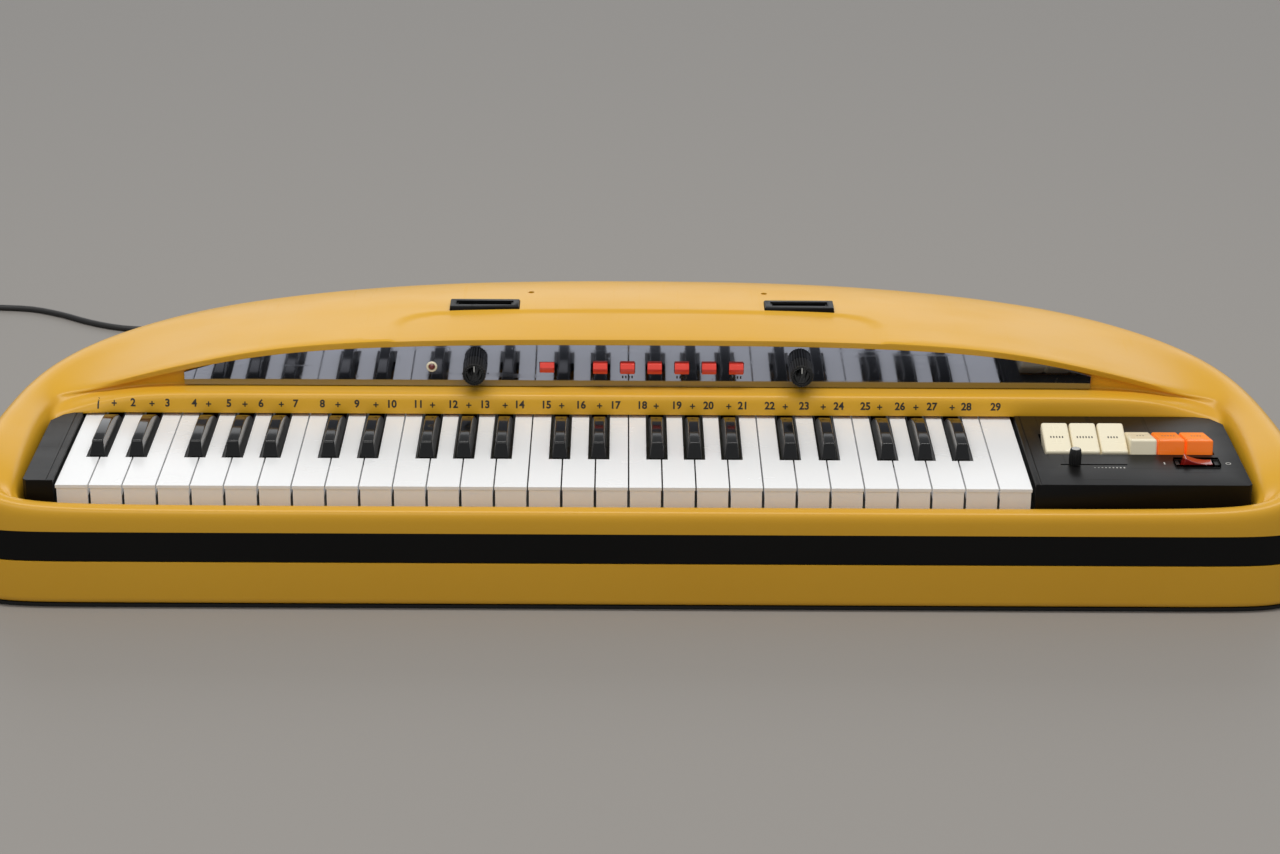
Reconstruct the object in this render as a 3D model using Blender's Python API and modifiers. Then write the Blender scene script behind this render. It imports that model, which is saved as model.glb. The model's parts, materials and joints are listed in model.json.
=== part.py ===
"""Portable 49-key electronic organ: a D-shaped plastic case, its keyboard, switches, works and mains lead.

Metres, +Z up. The origin is on the floor under the middle of the case, the player's side is -Y,
and the low notes are at -X.
"""

import math

import bmesh
import bpy
from mathutils import Matrix, Vector

MM = 0.001
GAP = 0.3 * MM

# Case: its pieces' heights are from a level 2 mm above its underside
SPLIT_LOW = 31 * MM  # seam between the lower shell and the trim band
SPLIT_HIGH = 54 * MM  # seam between the trim band and the upper shell
CASE_BOTTOM = -2 * MM
LIFT = 5 * MM  # how far the feet raise the case's own zero height above the floor
LOWER_WALL = 3 * MM
BOTTOM_RADIUS = 5 * MM
PANEL_FACE_Y = -3 * MM  # front of the mirrored panel

# Keyboard
PITCH = 23.5 * MM
KEY_LEFT = -406.3 * MM
KEY_TOP = 81 * MM
KEY_FRONT = -150 * MM
KEY_HEAD = 50 * MM
KEY_REAR = 31 * MM
KEY_GAP = 1 * MM
SHARP_WIDTH = 11.6 * MM
SHARP_CLEARANCE = 1.8 * MM
SHARP_TOP_WIDTH = 7.6 * MM
SHARP_TOP = 91.5 * MM
# Side of a sharp, from the front of its base over the top to the tail under the case
SHARP_PROFILE = [
    (-97.5, 71), (-97.5, 80), (-93, 91.5), (-62, 91.5), (-43, 89), (-27, 83), (-24, 80), (31, 80), (31, 71),
]
HINGE_Y = 25 * MM
HINGE_Z = 70 * MM
NATURALS = 29
SHARP_OFFSETS = {0: -2.2 * MM, 1: 2.2 * MM, 3: -3.2 * MM, 4: 0.0, 5: 3.2 * MM}
NOTE_NAMES = "CDEFGAB"

# Right-hand control panel
PANEL_LEFT = 277 * MM
PANEL_RIGHT = 428.4 * MM
PANEL_TOP = KEY_TOP + 3.4 * MM
PANEL_CORNER = 2.4 * MM
TAB_LEFT = 290.7 * MM
TAB_PITCH = 20.1 * MM
TAB_WIDTH = 19.1 * MM
TAB_PIVOT = (-75.5 * MM, 87 * MM)
TAB_THROW = math.radians(29)
TABS = 6
TABS_DOWN = 3  # those whose front edge is down at rest
FIRST_ORANGE = 4
SLOT_ENDS = (299 * MM, 346.4 * MM)
SLOT_Y = -113.5 * MM
SLIDER_X = 309 * MM
ROCKER_AT = (396 * MM, -110.4 * MM, 83.3 * MM)
ROCKER_THROW = math.radians(24)

# Controls on the mirrored panel
CONTROL_Z = 114.5 * MM
KNOB_X = 120 * MM
KNOB_RADIUS = 9 * MM
KNOB_PROUD = 19 * MM
STOP_X = -67 * MM
RHYTHM_X = 22.3 * MM
RHYTHM_PITCH = 20.05 * MM
BUTTON = (10.6 * MM, 7.6 * MM)
STOP_PROUD = 6 * MM
RHYTHM_PROUD = 8 * MM

# Music-rest sockets
SOCKET_X = (-115 * MM, 121 * MM)
SOCKET_Y = 51 * MM
SOCKET_SIZE = (52 * MM, 17 * MM, 24 * MM)
SOCKET_SLOT = (40 * MM, 5.5 * MM, 20 * MM)
SOCKET_TOP = 144.4 * MM

# Mains lead
CORD_DIAMETER = 5 * MM
GLAND_AT = (-120 * MM, 169.4 * MM, 20 * MM)
COIL_CENTRE = (-632 * MM, 405 * MM)
COIL_RADIUS = 27.5 * MM
COIL_SECTION = 15 * MM

# Half of the case's outline at the seams, from the middle of the front to the middle of the back
OUTLINE = [
    (0, -170), (190, -170), (375, -170), (440, -170), (467, -160), (473.5, -128), (470.5, -78),
    (465.5, -26), (459, 21), (441, 65), (407, 104), (353, 136), (282, 155), (160, 168), (0, 171),
]
# Sections of the upper shell at the same stations, from the seam over the shoulder to the well:
# inset from the outline and height of the wall and shoulder, then the lip, the foot of the face
# under it, the ledge and the edge of the well as points.
SHOULDER = [
    ((0, 60), (0.5, 70.5), (9, 71), (13, 69)), ((0, 60), (0.5, 70.5), (9, 71), (13, 69)),
    ((0, 60), (0.5, 70.5), (9, 71), (13, 69)), ((0, 61), (1, 73), (10, 74), (14, 71)),
    ((0, 69), (2, 84), (12, 86), (20, 83)), ((0, 72), (3, 91), (14, 94), (22, 90)),
    ((0, 74), (4, 93), (14, 97), (22, 94)), ((0, 74), (4, 93), (14, 98), (22, 96)),
    ((2, 76), (7, 95), (18, 101), (28, 99)), ((4, 78), (11, 99), (24, 106), (42, 104)),
    ((5, 80), (14, 103), (29, 111.5), (60, 111)), ((6, 82), (17, 108), (34, 120), (78, 121.5)),
    ((6, 84), (18, 113), (40, 129), (98, 133)), ((7, 86), (19, 118), (45, 140), (112, 144.5)),
    ((7, 86), (20, 120), (48, 143), (128, 145.5)),
]
LIP = [
    (0, -154.4, 67), (190, -154.4, 67), (375, -154.4, 67), (424, -154.5, 67.4), (435.5, -154.4, 71),
    (436.5, -141, 84.5), (437, -75, 91), (436, -36, 92), (431, -7, 92), (406, -5, 95.5),
    (375, -7, 106), (322, -7.5, 119.5), (258, -7.5, 132), (150, -7.5, 138), (0, -7.5, 138.5),
]
# How far the lip's underside lies behind its front edge
LIP_BACK = [0, 0, 0, 0, 0, 0, 0, 0, 0, 2, 4.5, 6, 6.5, 6.5, 6.5]
LIP_DROP = [0.5, 0.5, 0.5, 0.5, 1, 2, 3, 3, 3, 3.5, 4.5, 5, 5.5, 6, 6]
FACE_FOOT = [
    (0, -153.6, 66), (190, -153.6, 66), (375, -153.6, 66), (422, -153.8, 66.5), (433, -153.6, 69.5),
    (433.6, -138, 78), (433.8, -75, 83), (433, -38, 85), (430, -13, 86), (403, -5, 89), (371, -1, 96),
    (320, 0, 98), (256, 0, 98), (149, 0, 98), (0, 0, 98),
]
LEDGE_FRONT = [
    (0, -153, 65), (190, -153, 65), (375, -153, 65), (421.5, -153.1, 65), (431.8, -152.9, 67),
    (431.9, -137, 73), (432, -75, 77), (431.5, -40, 80), (430, -20.5, 83), (401, -19, 88), (369, -19.5, 96),
    (319, -20, 99), (255, -20, 99), (149, -20, 99), (0, -20, 99),
]
WELL = [
    (0, -152.4), (190, -152.4), (375, -152.4), (421, -152.4), (431, -152.2), (430.7, -136), (430.6, -75),
    (430.6, -42), (429, -23), (399, -21.9), (368, -22), (318, -22), (254, -22), (148, -22), (0, -22),
]
WELL_EDGE_HEIGHT = [61, 61, 61, 61, 62, 66, 69, 73, 82, 85, 85.5, 85.5, 85.5, 85.5, 85.5]
SKIRT_FOOT_HEIGHT = [56, 56, 56, 56, 56, 56, 56, 66, 81, 83.6, 83.6, 83.6, 83.6, 83.6, 83.6]
SHELL_WALL = 3

CORD_ROUTE = [
    (-120, 196, 25), (-120.5, 212, 22.5), (-122, 231, 14.5), (-126, 250, 6.8), (-137, 269, 3.4),
    (-162, 291, 2.7), (-200, 313, 2.6), (-250, 338, 2.6), (-305, 360, 2.6), (-362, 375, 2.6),
    (-415, 381, 2.6), (-449, 385, 2.6), (-480, 399, 2.6), (-508, 418, 2.6), (-537, 432, 2.6),
    (-568, 436, 2.6), (-592, 437.3, 2.7), (-613.6, 437.5, 2.8),
]
PLUG_REAR = (-624.5 * MM, 390 * MM)

SHELL_COLOR = (0.62, 0.34, 0.07)
parts = bpy.data.collections.new("electronic_organ")
cutters = bpy.data.collections.new("cutters")


def clear_scene():
    for obj in list(bpy.data.objects):
        bpy.data.objects.remove(obj)
    bpy.context.scene.collection.children.link(parts)
    bpy.context.scene.collection.children.link(cutters)
    level = bpy.data.objects.new("case_level", None)
    level.location = (0, 0, LIFT)
    parts.objects.link(level)


def material(name, color, roughness, metallic=0.0):
    made = bpy.data.materials.get(name)
    if made is None:
        made = bpy.data.materials.new(name)
        made.use_nodes = True
        shader = made.node_tree.nodes["Principled BSDF"]
        shader.inputs["Base Color"].default_value = (*color, 1)
        shader.inputs["Roughness"].default_value = roughness
        shader.inputs["Metallic"].default_value = metallic
    return made


def yellow():
    return material("mustard_plastic", SHELL_COLOR, 0.35)


def black():
    return material("black_plastic", (0.012, 0.012, 0.013), 0.3)


def place(obj, collection=parts, on_floor=False):
    """Puts an object in the scene, at the case's level or on the floor."""
    if not on_floor:
        obj.parent = bpy.data.objects["case_level"]
    collection.objects.link(obj)
    return obj


def add(name, mesh, finish, origin=(0, 0, 0), collection=parts, on_floor=False):
    """An object from a bmesh, with its origin at the given point."""
    data = bpy.data.meshes.new(name)
    bmesh.ops.recalc_face_normals(mesh, faces=mesh.faces)
    bmesh.ops.translate(mesh, vec=-Vector(origin), verts=mesh.verts)
    mesh.to_mesh(data)
    mesh.free()
    obj = bpy.data.objects.new(name, data)
    obj.location = origin
    if finish:
        data.materials.append(finish)
    return place(obj, collection, on_floor)


def box_mesh(low, high):
    mesh = bmesh.new()
    size = [b - a for a, b in zip(low, high)]
    centre = [(a + b) / 2 for a, b in zip(low, high)]
    bmesh.ops.create_cube(mesh, size=1, matrix=Matrix.Translation(centre) @ Matrix.Diagonal((*size, 1)))
    return mesh


def cutter(name, mesh, on_floor=False):
    obj = add(name, mesh, None, collection=cutters, on_floor=on_floor)
    obj.hide_render = True
    obj.display_type = "WIRE"
    return obj


def cut(obj, tool, operation="DIFFERENCE"):
    modifier = obj.modifiers.new(tool.name, "BOOLEAN")
    modifier.object = tool
    modifier.operation = operation


def bevel(obj, width, segments=2, angle=40):
    modifier = obj.modifiers.new("edges", "BEVEL")
    modifier.width = width
    modifier.segments = segments
    modifier.limit_method = "ANGLE"
    modifier.angle_limit = math.radians(angle)


def extruded(outline, low, high, axis="Z"):
    """A prism of an outline in a plane across the axis, between two places along it."""
    mesh = bmesh.new()
    order = {
        "X": lambda a, b, c: (c, a, b),
        "Y": lambda a, b, c: (a, c, b),
        "Z": lambda a, b, c: (a, b, c),
    }[axis]
    face = mesh.faces.new([mesh.verts.new(order(a, b, low)) for a, b in outline])
    grown = bmesh.ops.extrude_face_region(mesh, geom=[face])["geom"]
    moved = [v for v in grown if isinstance(v, bmesh.types.BMVert)]
    bmesh.ops.translate(mesh, vec=order(0, 0, high - low), verts=moved)
    return mesh


def spline(points, steps=2):
    """Points on the uniform cubic curve that a closed outline's half and its mirror image control."""
    whole = [Vector(p) for p in points]
    mirrored = [Vector((-p[0], *p[1:])) for p in reversed(whole[1:-1])]
    ring = whole + mirrored
    made = []
    for i in range(len(ring)):
        a, b, c, d = (ring[(i + k) % len(ring)] for k in (-1, 0, 1, 2))
        for step in range(steps):
            u = step / steps
            made.append(
                ((1 - u) ** 3 * a + (3 * u**3 - 6 * u**2 + 4) * b
                 + (-3 * u**3 + 3 * u**2 + 3 * u + 1) * c + u**3 * d) / 6
            )
    return made


def case_outline(inset=0.0):
    """The case's outline at the seams, moved inwards, in metres."""
    ring = spline([(x * MM, y * MM, 0) for x, y in OUTLINE])
    made = []
    for i, point in enumerate(ring):
        along = (ring[(i + 1) % len(ring)] - ring[i - 1]).normalized()
        made.append((point.x - along.y * inset, point.y + along.x * inset))
    return made


def inward(i):
    """Unit direction into the case at a station of the outline."""
    before = OUTLINE[i - 1] if i else (-OUTLINE[1][0], OUTLINE[1][1])
    after = OUTLINE[i + 1] if i + 1 < len(OUTLINE) else (-OUTLINE[-2][0], OUTLINE[-2][1])
    along = Vector((after[0] - before[0], after[1] - before[1])).normalized()
    return Vector((-along.y, along.x))


def shell_section(i):
    """One closed section of the upper shell, in millimetres, outer surface first."""
    foot = Vector(OUTLINE[i])
    into = inward(i)
    lip, well = LIP[i], WELL[i]
    outer = [(*foot, SPLIT_HIGH / MM)]
    for inset, height in SHOULDER[i]:
        outer.append((*(foot + into * inset), height))
    outer.append(lip)
    outer.append((lip[0], lip[1] + LIP_BACK[i], lip[2] - LIP_DROP[i]))
    outer += [FACE_FOOT[i], LEDGE_FRONT[i]]
    outer += [(*well, WELL_EDGE_HEIGHT[i]), (*well, SKIRT_FOOT_HEIGHT[i])]
    crown_inset, crown_height = SHOULDER[i][2]
    behind_lip = max(SHELL_WALL, 0.4 * (SHOULDER[i][3][0]))
    inner = [
        (*(Vector(well) - into * SHELL_WALL), SKIRT_FOOT_HEIGHT[i]),
        (*(Vector(FACE_FOOT[i][:2]) - into * SHELL_WALL * 0.8), FACE_FOOT[i][2] - SHELL_WALL),
        (*(Vector(lip[:2]) - into * min(behind_lip, 12)), lip[2] - LIP_DROP[i] - SHELL_WALL),
        (*(foot + into * (crown_inset + 3)), crown_height - 1.6 * SHELL_WALL),
        (*(foot + into * (SHOULDER[i][0][0] + SHELL_WALL)), SPLIT_HIGH / MM),
    ]
    return [Vector(p) * MM for p in outer + inner]


# Section lines that stay sharp, and how much: seam, lip, face foot, skirt foot and inner seam
SHELL_CREASES = {0: 1.0, 5: 0.75, 6: 0.45, 7: 0.8, 9: 0.3, 10: 1.0, 11: 1.0, 12: 0.9, 13: 0.9, 15: 1.0}


def upper_shell():
    sections = [shell_section(i) for i in range(len(OUTLINE))]
    mesh = bmesh.new()
    rows = [[mesh.verts.new(p) for p in section] for section in sections]
    crease = mesh.edges.layers.float.new("crease_edge")
    lines = len(rows[0])
    for here, there in zip(rows, rows[1:]):
        for j in range(lines):
            k = (j + 1) % lines
            mesh.faces.new((here[j], there[j], there[k], here[k]))
    for here, there in zip(rows, rows[1:]):
        for j, amount in SHELL_CREASES.items():
            mesh.edges.get((here[j], there[j]))[crease] = amount
    mirrored = bmesh.ops.duplicate(mesh, geom=mesh.verts[:] + mesh.edges[:] + mesh.faces[:])["geom"]
    flipped = [v for v in mirrored if isinstance(v, bmesh.types.BMVert)]
    bmesh.ops.scale(mesh, vec=(-1, 1, 1), verts=flipped)
    bmesh.ops.remove_doubles(mesh, verts=mesh.verts, dist=0.01 * MM)
    shell = add("upper_shell", mesh, yellow())
    soft = shell.modifiers.new("round", "SUBSURF")
    soft.levels = soft.render_levels = 1
    window = box_mesh((-170 * MM, -8 * MM, 103 * MM), (170 * MM, 12 * MM, 126 * MM))
    cut(shell, cutter("panel_window", window))
    for x in SOCKET_X:
        size = [s / 2 + GAP for s in SOCKET_SIZE]
        near, far = SOCKET_Y - size[1], SOCKET_Y + size[1]
        hole = box_mesh((x - size[0], near, 110 * MM), (x + size[0], far, 160 * MM))
        cut(shell, cutter("socket_hole", hole))
    return shell


def lower_shell():
    mesh = extruded(case_outline(), CASE_BOTTOM, SPLIT_LOW)
    rim = [e for e in mesh.edges if all(abs(v.co.z - CASE_BOTTOM) < GAP for v in e.verts)]
    bmesh.ops.bevel(mesh, geom=rim, offset=BOTTOM_RADIUS, segments=2, profile=0.5, affect="EDGES")
    shell = add("lower_shell", mesh, yellow())
    step = CASE_BOTTOM + BOTTOM_RADIUS + 1 * MM
    hollow = extruded(case_outline(LOWER_WALL), step, SPLIT_LOW + 5 * MM)
    cut(shell, cutter("tray_hollow", hollow))
    deep = extruded(case_outline(LOWER_WALL + 3 * MM), CASE_BOTTOM + LOWER_WALL, step + 1 * MM)
    cut(shell, cutter("tray_floor", deep))
    for i, (x, y) in enumerate(((-380, -130), (380, -130), (-300, 100), (300, 100))):
        low, high = -LIFT, CASE_BOTTOM + 1.5 * MM
        foot = bmesh.new()
        bmesh.ops.create_cone(foot, cap_ends=True, segments=12, radius1=10.5 * MM, radius2=11.5 * MM,
                              depth=high - low, matrix=Matrix.Translation((x * MM, y * MM, (low + high) / 2)))
        cut(shell, cutter(f"foot_{i}", foot), "UNION")
    for i in range(7):
        offset = (i - 3) * 13 * MM
        x, half = SPEAKER_AT[0] + offset, math.sqrt((46 * MM) ** 2 - offset**2)
        near, far = SPEAKER_AT[1] - half, SPEAKER_AT[1] + half
        slot = box_mesh((x - 1.5 * MM, near, -4 * MM), (x + 1.5 * MM, far, 8 * MM))
        cut(shell, cutter(f"sound_slot_{i}", slot))
    return shell


def trim_band():
    """The black band that covers the seam, with a lip inside that locates both shells."""
    mesh = extruded(case_outline(0.5 * MM), SPLIT_LOW + GAP, SPLIT_HIGH - GAP)
    band = add("trim_band", mesh, black())
    hollow = extruded(case_outline(3.5 * MM), SPLIT_LOW - 5 * MM, SPLIT_HIGH + 5 * MM)
    cut(band, cutter("band_hollow", hollow))
    return band


# Works inside the case
SPEAKER_AT = (-225 * MM, 92 * MM)


def key_chassis():
    """A folded steel frame: a plate under the keys, and the rail that they hinge on."""
    left, right = -409 * MM, 274.5 * MM
    outline = [
        (-138, 38), (24.6, 38), (24.6, 69.6), (32, 69.6), (32, 66.6), (27.6, 66.6), (27.6, 35), (-138, 35),
    ]
    mesh = extruded([(y * MM, z * MM) for y, z in outline], left, right, "X")
    return add("key_chassis", mesh, material("zinc_steel", (0.45, 0.45, 0.43), 0.4, 1.0))


def boards():
    green = material("circuit_board", (0.05, 0.16, 0.06), 0.5)
    upright = box_mesh((-160 * MM, 14 * MM, 98 * MM), (160 * MM, 15.6 * MM, 124 * MM))
    add("control_board", upright, green)
    flat = box_mesh((-120 * MM, 45 * MM, 26 * MM), (230 * MM, 135 * MM, 27.6 * MM))
    add("tone_generator_board", flat, green)


def transformer():
    mesh = box_mesh((265 * MM, 55 * MM, 1.4 * MM), (325 * MM, 101 * MM, 51 * MM))
    coil = box_mesh((275 * MM, 43 * MM, 9 * MM), (315 * MM, 113 * MM, 43 * MM))
    body = add("transformer", mesh, material("iron_core", (0.12, 0.12, 0.12), 0.5, 0.8))
    cut(body, cutter("winding", coil), "UNION")


def turned_piece(name, profile, centre, finish, steps=24, ring=False, on_floor=False):
    """A profile of radius and height in millimetres, turned about a vertical axis."""
    data = bpy.data.meshes.new(name)
    mesh = bmesh.new()
    points = [mesh.verts.new((r * MM, 0, z * MM)) for r, z in profile]
    for a, b in zip(points, points[1:] + points[:1] if ring else points[1:]):
        mesh.edges.new((a, b))
    mesh.to_mesh(data)
    mesh.free()
    obj = bpy.data.objects.new(name, data)
    obj.location = centre
    data.materials.append(finish)
    place(obj, on_floor=on_floor)
    screw = obj.modifiers.new("turn", "SCREW")
    screw.steps = screw.render_steps = steps
    screw.use_merge_vertices = True
    screw.merge_threshold = 0.05 * MM
    return obj


def speaker():
    """The loudspeaker facing the floor: magnet, basket and frame as one turned piece."""
    profile = [
        (0, 38), (22, 38), (22, 22), (24, 22), (47, 6), (52, 6), (52, 1.5), (44, 1.5), (14, 14), (0, 14),
    ]
    frame = material("speaker_frame", (0.1, 0.1, 0.1), 0.5, 0.5)
    turned_piece("speaker", profile, (*SPEAKER_AT, 0), frame)


# Keyboard
def natural_edges(index):
    """Left and right sides of a natural's head, and of its tail between the sharps."""
    left = KEY_LEFT + index * PITCH + KEY_GAP / 2
    right = left + PITCH - KEY_GAP
    tail_left, tail_right = left, right
    clear = SHARP_WIDTH / 2 + SHARP_CLEARANCE
    for boundary, side in ((index - 1, "left"), (index, "right")):
        centre = sharp_centre(boundary)
        if centre is not None and side == "left":
            tail_left = centre + clear
        elif centre is not None:
            tail_right = centre - clear
    return left, right, tail_left, tail_right


def sharp_centre(index):
    """X of the sharp between natural index and the next one, or None where there isn't one."""
    if not 0 <= index < NATURALS - 1 or index % 7 not in SHARP_OFFSETS:
        return None
    return KEY_LEFT + (index + 1) * PITCH + SHARP_OFFSETS[index % 7]


def natural_mesh(index):
    left, right, tail_left, tail_right = natural_edges(index)
    front, shoulder = KEY_FRONT, KEY_FRONT + KEY_HEAD
    outline = [(left, front), (right, front), (right, shoulder), (tail_right, shoulder),
               (tail_right, KEY_REAR), (tail_left, KEY_REAR), (tail_left, shoulder), (left, shoulder)]
    kept = [p for i, p in enumerate(outline) if i == 0 or p != outline[i - 1]]
    apron, apron_drop, under = 3 * MM, 11 * MM, KEY_TOP - 10 * MM
    mesh = extruded(kept, under, KEY_TOP)
    geometry = mesh.verts[:] + mesh.edges[:] + mesh.faces[:]
    bmesh.ops.bisect_plane(mesh, geom=geometry, plane_co=(0, front + apron, 0), plane_no=(0, 1, 0))
    mesh.normal_update()
    middles = [(f, f.calc_center_median()) for f in mesh.faces]
    low = [f for f, middle in middles if middle.y < front + apron and abs(middle.z - under) < GAP]
    grown = bmesh.ops.extrude_face_region(mesh, geom=low)["geom"]
    bmesh.ops.delete(mesh, geom=low, context="FACES_ONLY")
    moved = [v for v in grown if isinstance(v, bmesh.types.BMVert)]
    bmesh.ops.translate(mesh, vec=(0, 0, -apron_drop), verts=moved)
    return mesh


def sharp_mesh(index):
    centre = sharp_centre(index)
    half = SHARP_WIDTH / 2
    mesh = extruded([(y * MM, z * MM) for y, z in SHARP_PROFILE], centre - half, centre + half, "X")
    for vert in mesh.verts:
        rise = max(0.0, vert.co.z - KEY_TOP) / (SHARP_TOP - KEY_TOP)
        vert.co.x = centre + (vert.co.x - centre) * (1 - rise * (1 - SHARP_TOP_WIDTH / SHARP_WIDTH))
    return mesh


def ivory():
    return material("white_key", (0.85, 0.85, 0.84), 0.25)


def ebony():
    return material("black_key", (0.01, 0.01, 0.01), 0.12)


def note_name(index, sharp=False):
    octave = index // 7 + 1
    return f"key_{NOTE_NAMES[index % 7].lower()}{'_sharp' if sharp else ''}_{octave}"


def single_keys(first, last):
    """Separate keys, each on its own hinge, from one natural to another."""
    for index in range(first, last):
        left, right = natural_edges(index)[:2]
        origin = ((left + right) / 2, HINGE_Y, HINGE_Z)
        add(note_name(index), natural_mesh(index), ivory(), origin)
        if sharp_centre(index) is not None:
            origin = (sharp_centre(index), HINGE_Y, HINGE_Z)
            add(note_name(index, sharp=True), sharp_mesh(index), ebony(), origin)


def key_comb(name, first, last):
    """The keys of an outer octave, joined at their rear ends, on one hinge."""
    whole = bmesh.new()
    for index in range(first, last):
        pieces = [natural_mesh(index)]
        if sharp_centre(index) is not None and index + 1 < last:
            pieces.append(sharp_mesh(index))
        for piece in pieces:
            data = bpy.data.meshes.new("piece")
            bmesh.ops.recalc_face_normals(piece, faces=piece.faces)
            piece.to_mesh(data)
            whole.from_mesh(data)
            bpy.data.meshes.remove(data)
            piece.free()
    origin = (KEY_LEFT + (first + last) / 2 * PITCH, HINGE_Y, HINGE_Z)
    comb = add(name, whole, ivory(), origin)
    left = natural_edges(first)[0]
    right = natural_edges(last - 1)[1]
    bar = box_mesh((left + 2 * MM, KEY_REAR - 5 * MM, KEY_TOP - 9.5 * MM),
                   (right - 2 * MM, KEY_REAR + 1 * MM, KEY_TOP - 1.5 * MM))
    cut(comb, cutter(name + "_bar", bar), "UNION")


def left_end_block():
    outline = [(-426, -149.7), (-407.3, -149.7), (-407.3, -24.6), (-414, -24.6), (-421, -28.5),
               (-428.4, -40), (-428.4, -147.3)]
    mesh = extruded([(x * MM, y * MM) for x, y in outline], 58 * MM, PANEL_TOP)
    block = add("left_end_block", mesh, black())
    bevel(block, 1 * MM, 1, 60)


def control_panel():
    """The black cover over the switches at the right end, open underneath."""
    left, right = PANEL_LEFT, PANEL_RIGHT
    front, rear = -149.7 * MM, -23 * MM

    def plan(inset):
        near, far = right - inset, rear - inset
        corner = PANEL_CORNER
        return [(left + inset, front + inset), (near - corner, front + inset), (near, front + corner + inset),
                (near, far - 14 * MM), (near - 8 * MM, far - 3 * MM), (near - 18 * MM, far),
                (left + inset, far)]

    mesh = extruded(plan(0), 58 * MM, PANEL_TOP)
    panel = add("control_panel", mesh, black())
    bevel(panel, 1 * MM, 1, 60)
    cut(panel, cutter("panel_hollow", extruded(plan(2.5 * MM), 50 * MM, PANEL_TOP - 2.5 * MM)))
    pivot_y = TAB_PIVOT[0]
    window = box_mesh((TAB_LEFT - 0.5 * MM, pivot_y - 19.4 * MM, 70 * MM),
                      (TAB_LEFT + 6 * TAB_PITCH + 0.3 * MM, pivot_y + 17.8 * MM, 90 * MM))
    cut(panel, cutter("tab_window", window))
    slot = box_mesh((SLOT_ENDS[0], SLOT_Y - 1 * MM, 70 * MM), (SLOT_ENDS[1], SLOT_Y + 1 * MM, 90 * MM))
    cut(panel, cutter("slider_slot", slot))
    x, y, _ = ROCKER_AT
    hole = box_mesh((x - 12.5 * MM, y - 5.2 * MM, 70 * MM), (x + 12.5 * MM, y + 5.2 * MM, 90 * MM))
    cut(panel, cutter("rocker_hole", hole))


def turned(point, angle):
    c, s = math.cos(angle), math.sin(angle)
    return point[0] * c - point[1] * s, point[0] * s + point[1] * c


def tabs():
    """Six see-saw tabs: the first three have their front edge down, the others have it up."""
    shape = [(-17, 7.5), (17, 0), (15, -6), (2, -8.5), (-9, -8.5), (-16.6, -5)]
    cream = material("cream_plastic", (0.78, 0.68, 0.42), 0.35)
    orange = material("orange_plastic", (0.9, 0.22, 0.04), 0.35)
    for i in range(TABS):
        angle = TAB_THROW if i < TABS_DOWN else 0
        outline = [turned((y * MM, z * MM), angle) for y, z in shape]
        outline = [(y + TAB_PIVOT[0], z + TAB_PIVOT[1]) for y, z in outline]
        left = TAB_LEFT + i * TAB_PITCH + (TAB_PITCH - TAB_WIDTH) / 2
        mesh = extruded(outline, left, left + TAB_WIDTH, "X")
        origin = (left + TAB_WIDTH / 2, *TAB_PIVOT)
        add(f"tone_tab_{i + 1}", mesh, cream if i < FIRST_ORANGE else orange, origin)


def volume_slider():
    x, y = SLIDER_X, SLOT_Y
    low, high = PANEL_TOP + 0.8 * MM, PANEL_TOP + 12.6 * MM
    mesh = bmesh.new()
    bmesh.ops.create_cone(mesh, cap_ends=True, segments=18, radius1=4.4 * MM, radius2=3.8 * MM,
                          depth=high - low, matrix=Matrix.Translation((x, y, (low + high) / 2)))
    slider = add("volume_slider", mesh, black(), (x, y, PANEL_TOP))
    stem = box_mesh((x - 2 * MM, y - 0.7 * MM, PANEL_TOP - 7 * MM),
                    (x + 2 * MM, y + 0.7 * MM, PANEL_TOP + 3 * MM))
    cut(slider, cutter("slider_stem", stem), "UNION")


def power_rocker():
    x, y, z = ROCKER_AT
    shape = [(-10, 4.6), (0, 3), (10, 4.6), (10.6, -4), (4, -7), (-4, -7), (-10.6, -4)]
    outline = [turned((a * MM, b * MM), -ROCKER_THROW / 2) for a, b in shape]
    mesh = extruded([(x + a, z + b) for a, b in outline], y - 4.4 * MM, y + 4.4 * MM, "Y")
    add("power_rocker", mesh, material("red_lens", (0.5, 0.02, 0.01), 0.15), ROCKER_AT)


# Mirrored panel and its controls
def poly(curve, points):
    line = curve.splines.new("POLY")
    line.points.add(len(points) - 1)
    for point, (x, y) in zip(line.points, points):
        point.co = (x, y, 0, 1)
    line.use_cyclic_u = True


def button_places():
    rhythm = [RHYTHM_X + (i - 2.5) * RHYTHM_PITCH for i in range(6)]
    return {"stop_button": STOP_X, **{f"rhythm_button_{i + 1}": x for i, x in enumerate(rhythm)}}


def mirror_panel():
    curve = bpy.data.curves.new("mirror_panel", "CURVE")
    curve.dimensions = "2D"
    curve.fill_mode = "BOTH"
    curve.extrude = 0.9 * MM
    half = [(335, 99), (335, 108), (312, 114.5), (292, 119.5), (262, 125), (235, 128.2), (205, 129.6),
            (100, 130)]
    outline = [(x * MM, z * MM) for x, z in half] + [(-x * MM, z * MM) for x, z in reversed(half)]
    poly(curve, outline)
    w, h = BUTTON[0] / 2 + 0.4 * MM, BUTTON[1] / 2 + 0.4 * MM
    low, high = CONTROL_Z - h, CONTROL_Z + h
    for x in button_places().values():
        poly(curve, [(x - w, low), (x + w, low), (x + w, high), (x - w, high)])
    steps, radius = 12, 3.8 * MM
    angles = [math.tau * i / steps for i in range(steps)]
    for x in (-KNOB_X, KNOB_X):
        poly(curve, [(x + radius * math.cos(a), CONTROL_Z + radius * math.sin(a)) for a in angles])
    curve.materials.append(material("mirror", (0.8, 0.8, 0.8), 0.05, 1.0))
    obj = bpy.data.objects.new("mirror_panel", curve)
    obj.rotation_euler = (math.pi / 2, 0, 0)
    obj.location = (0, PANEL_FACE_Y - 1.6 * MM, 0)
    place(obj)


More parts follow.
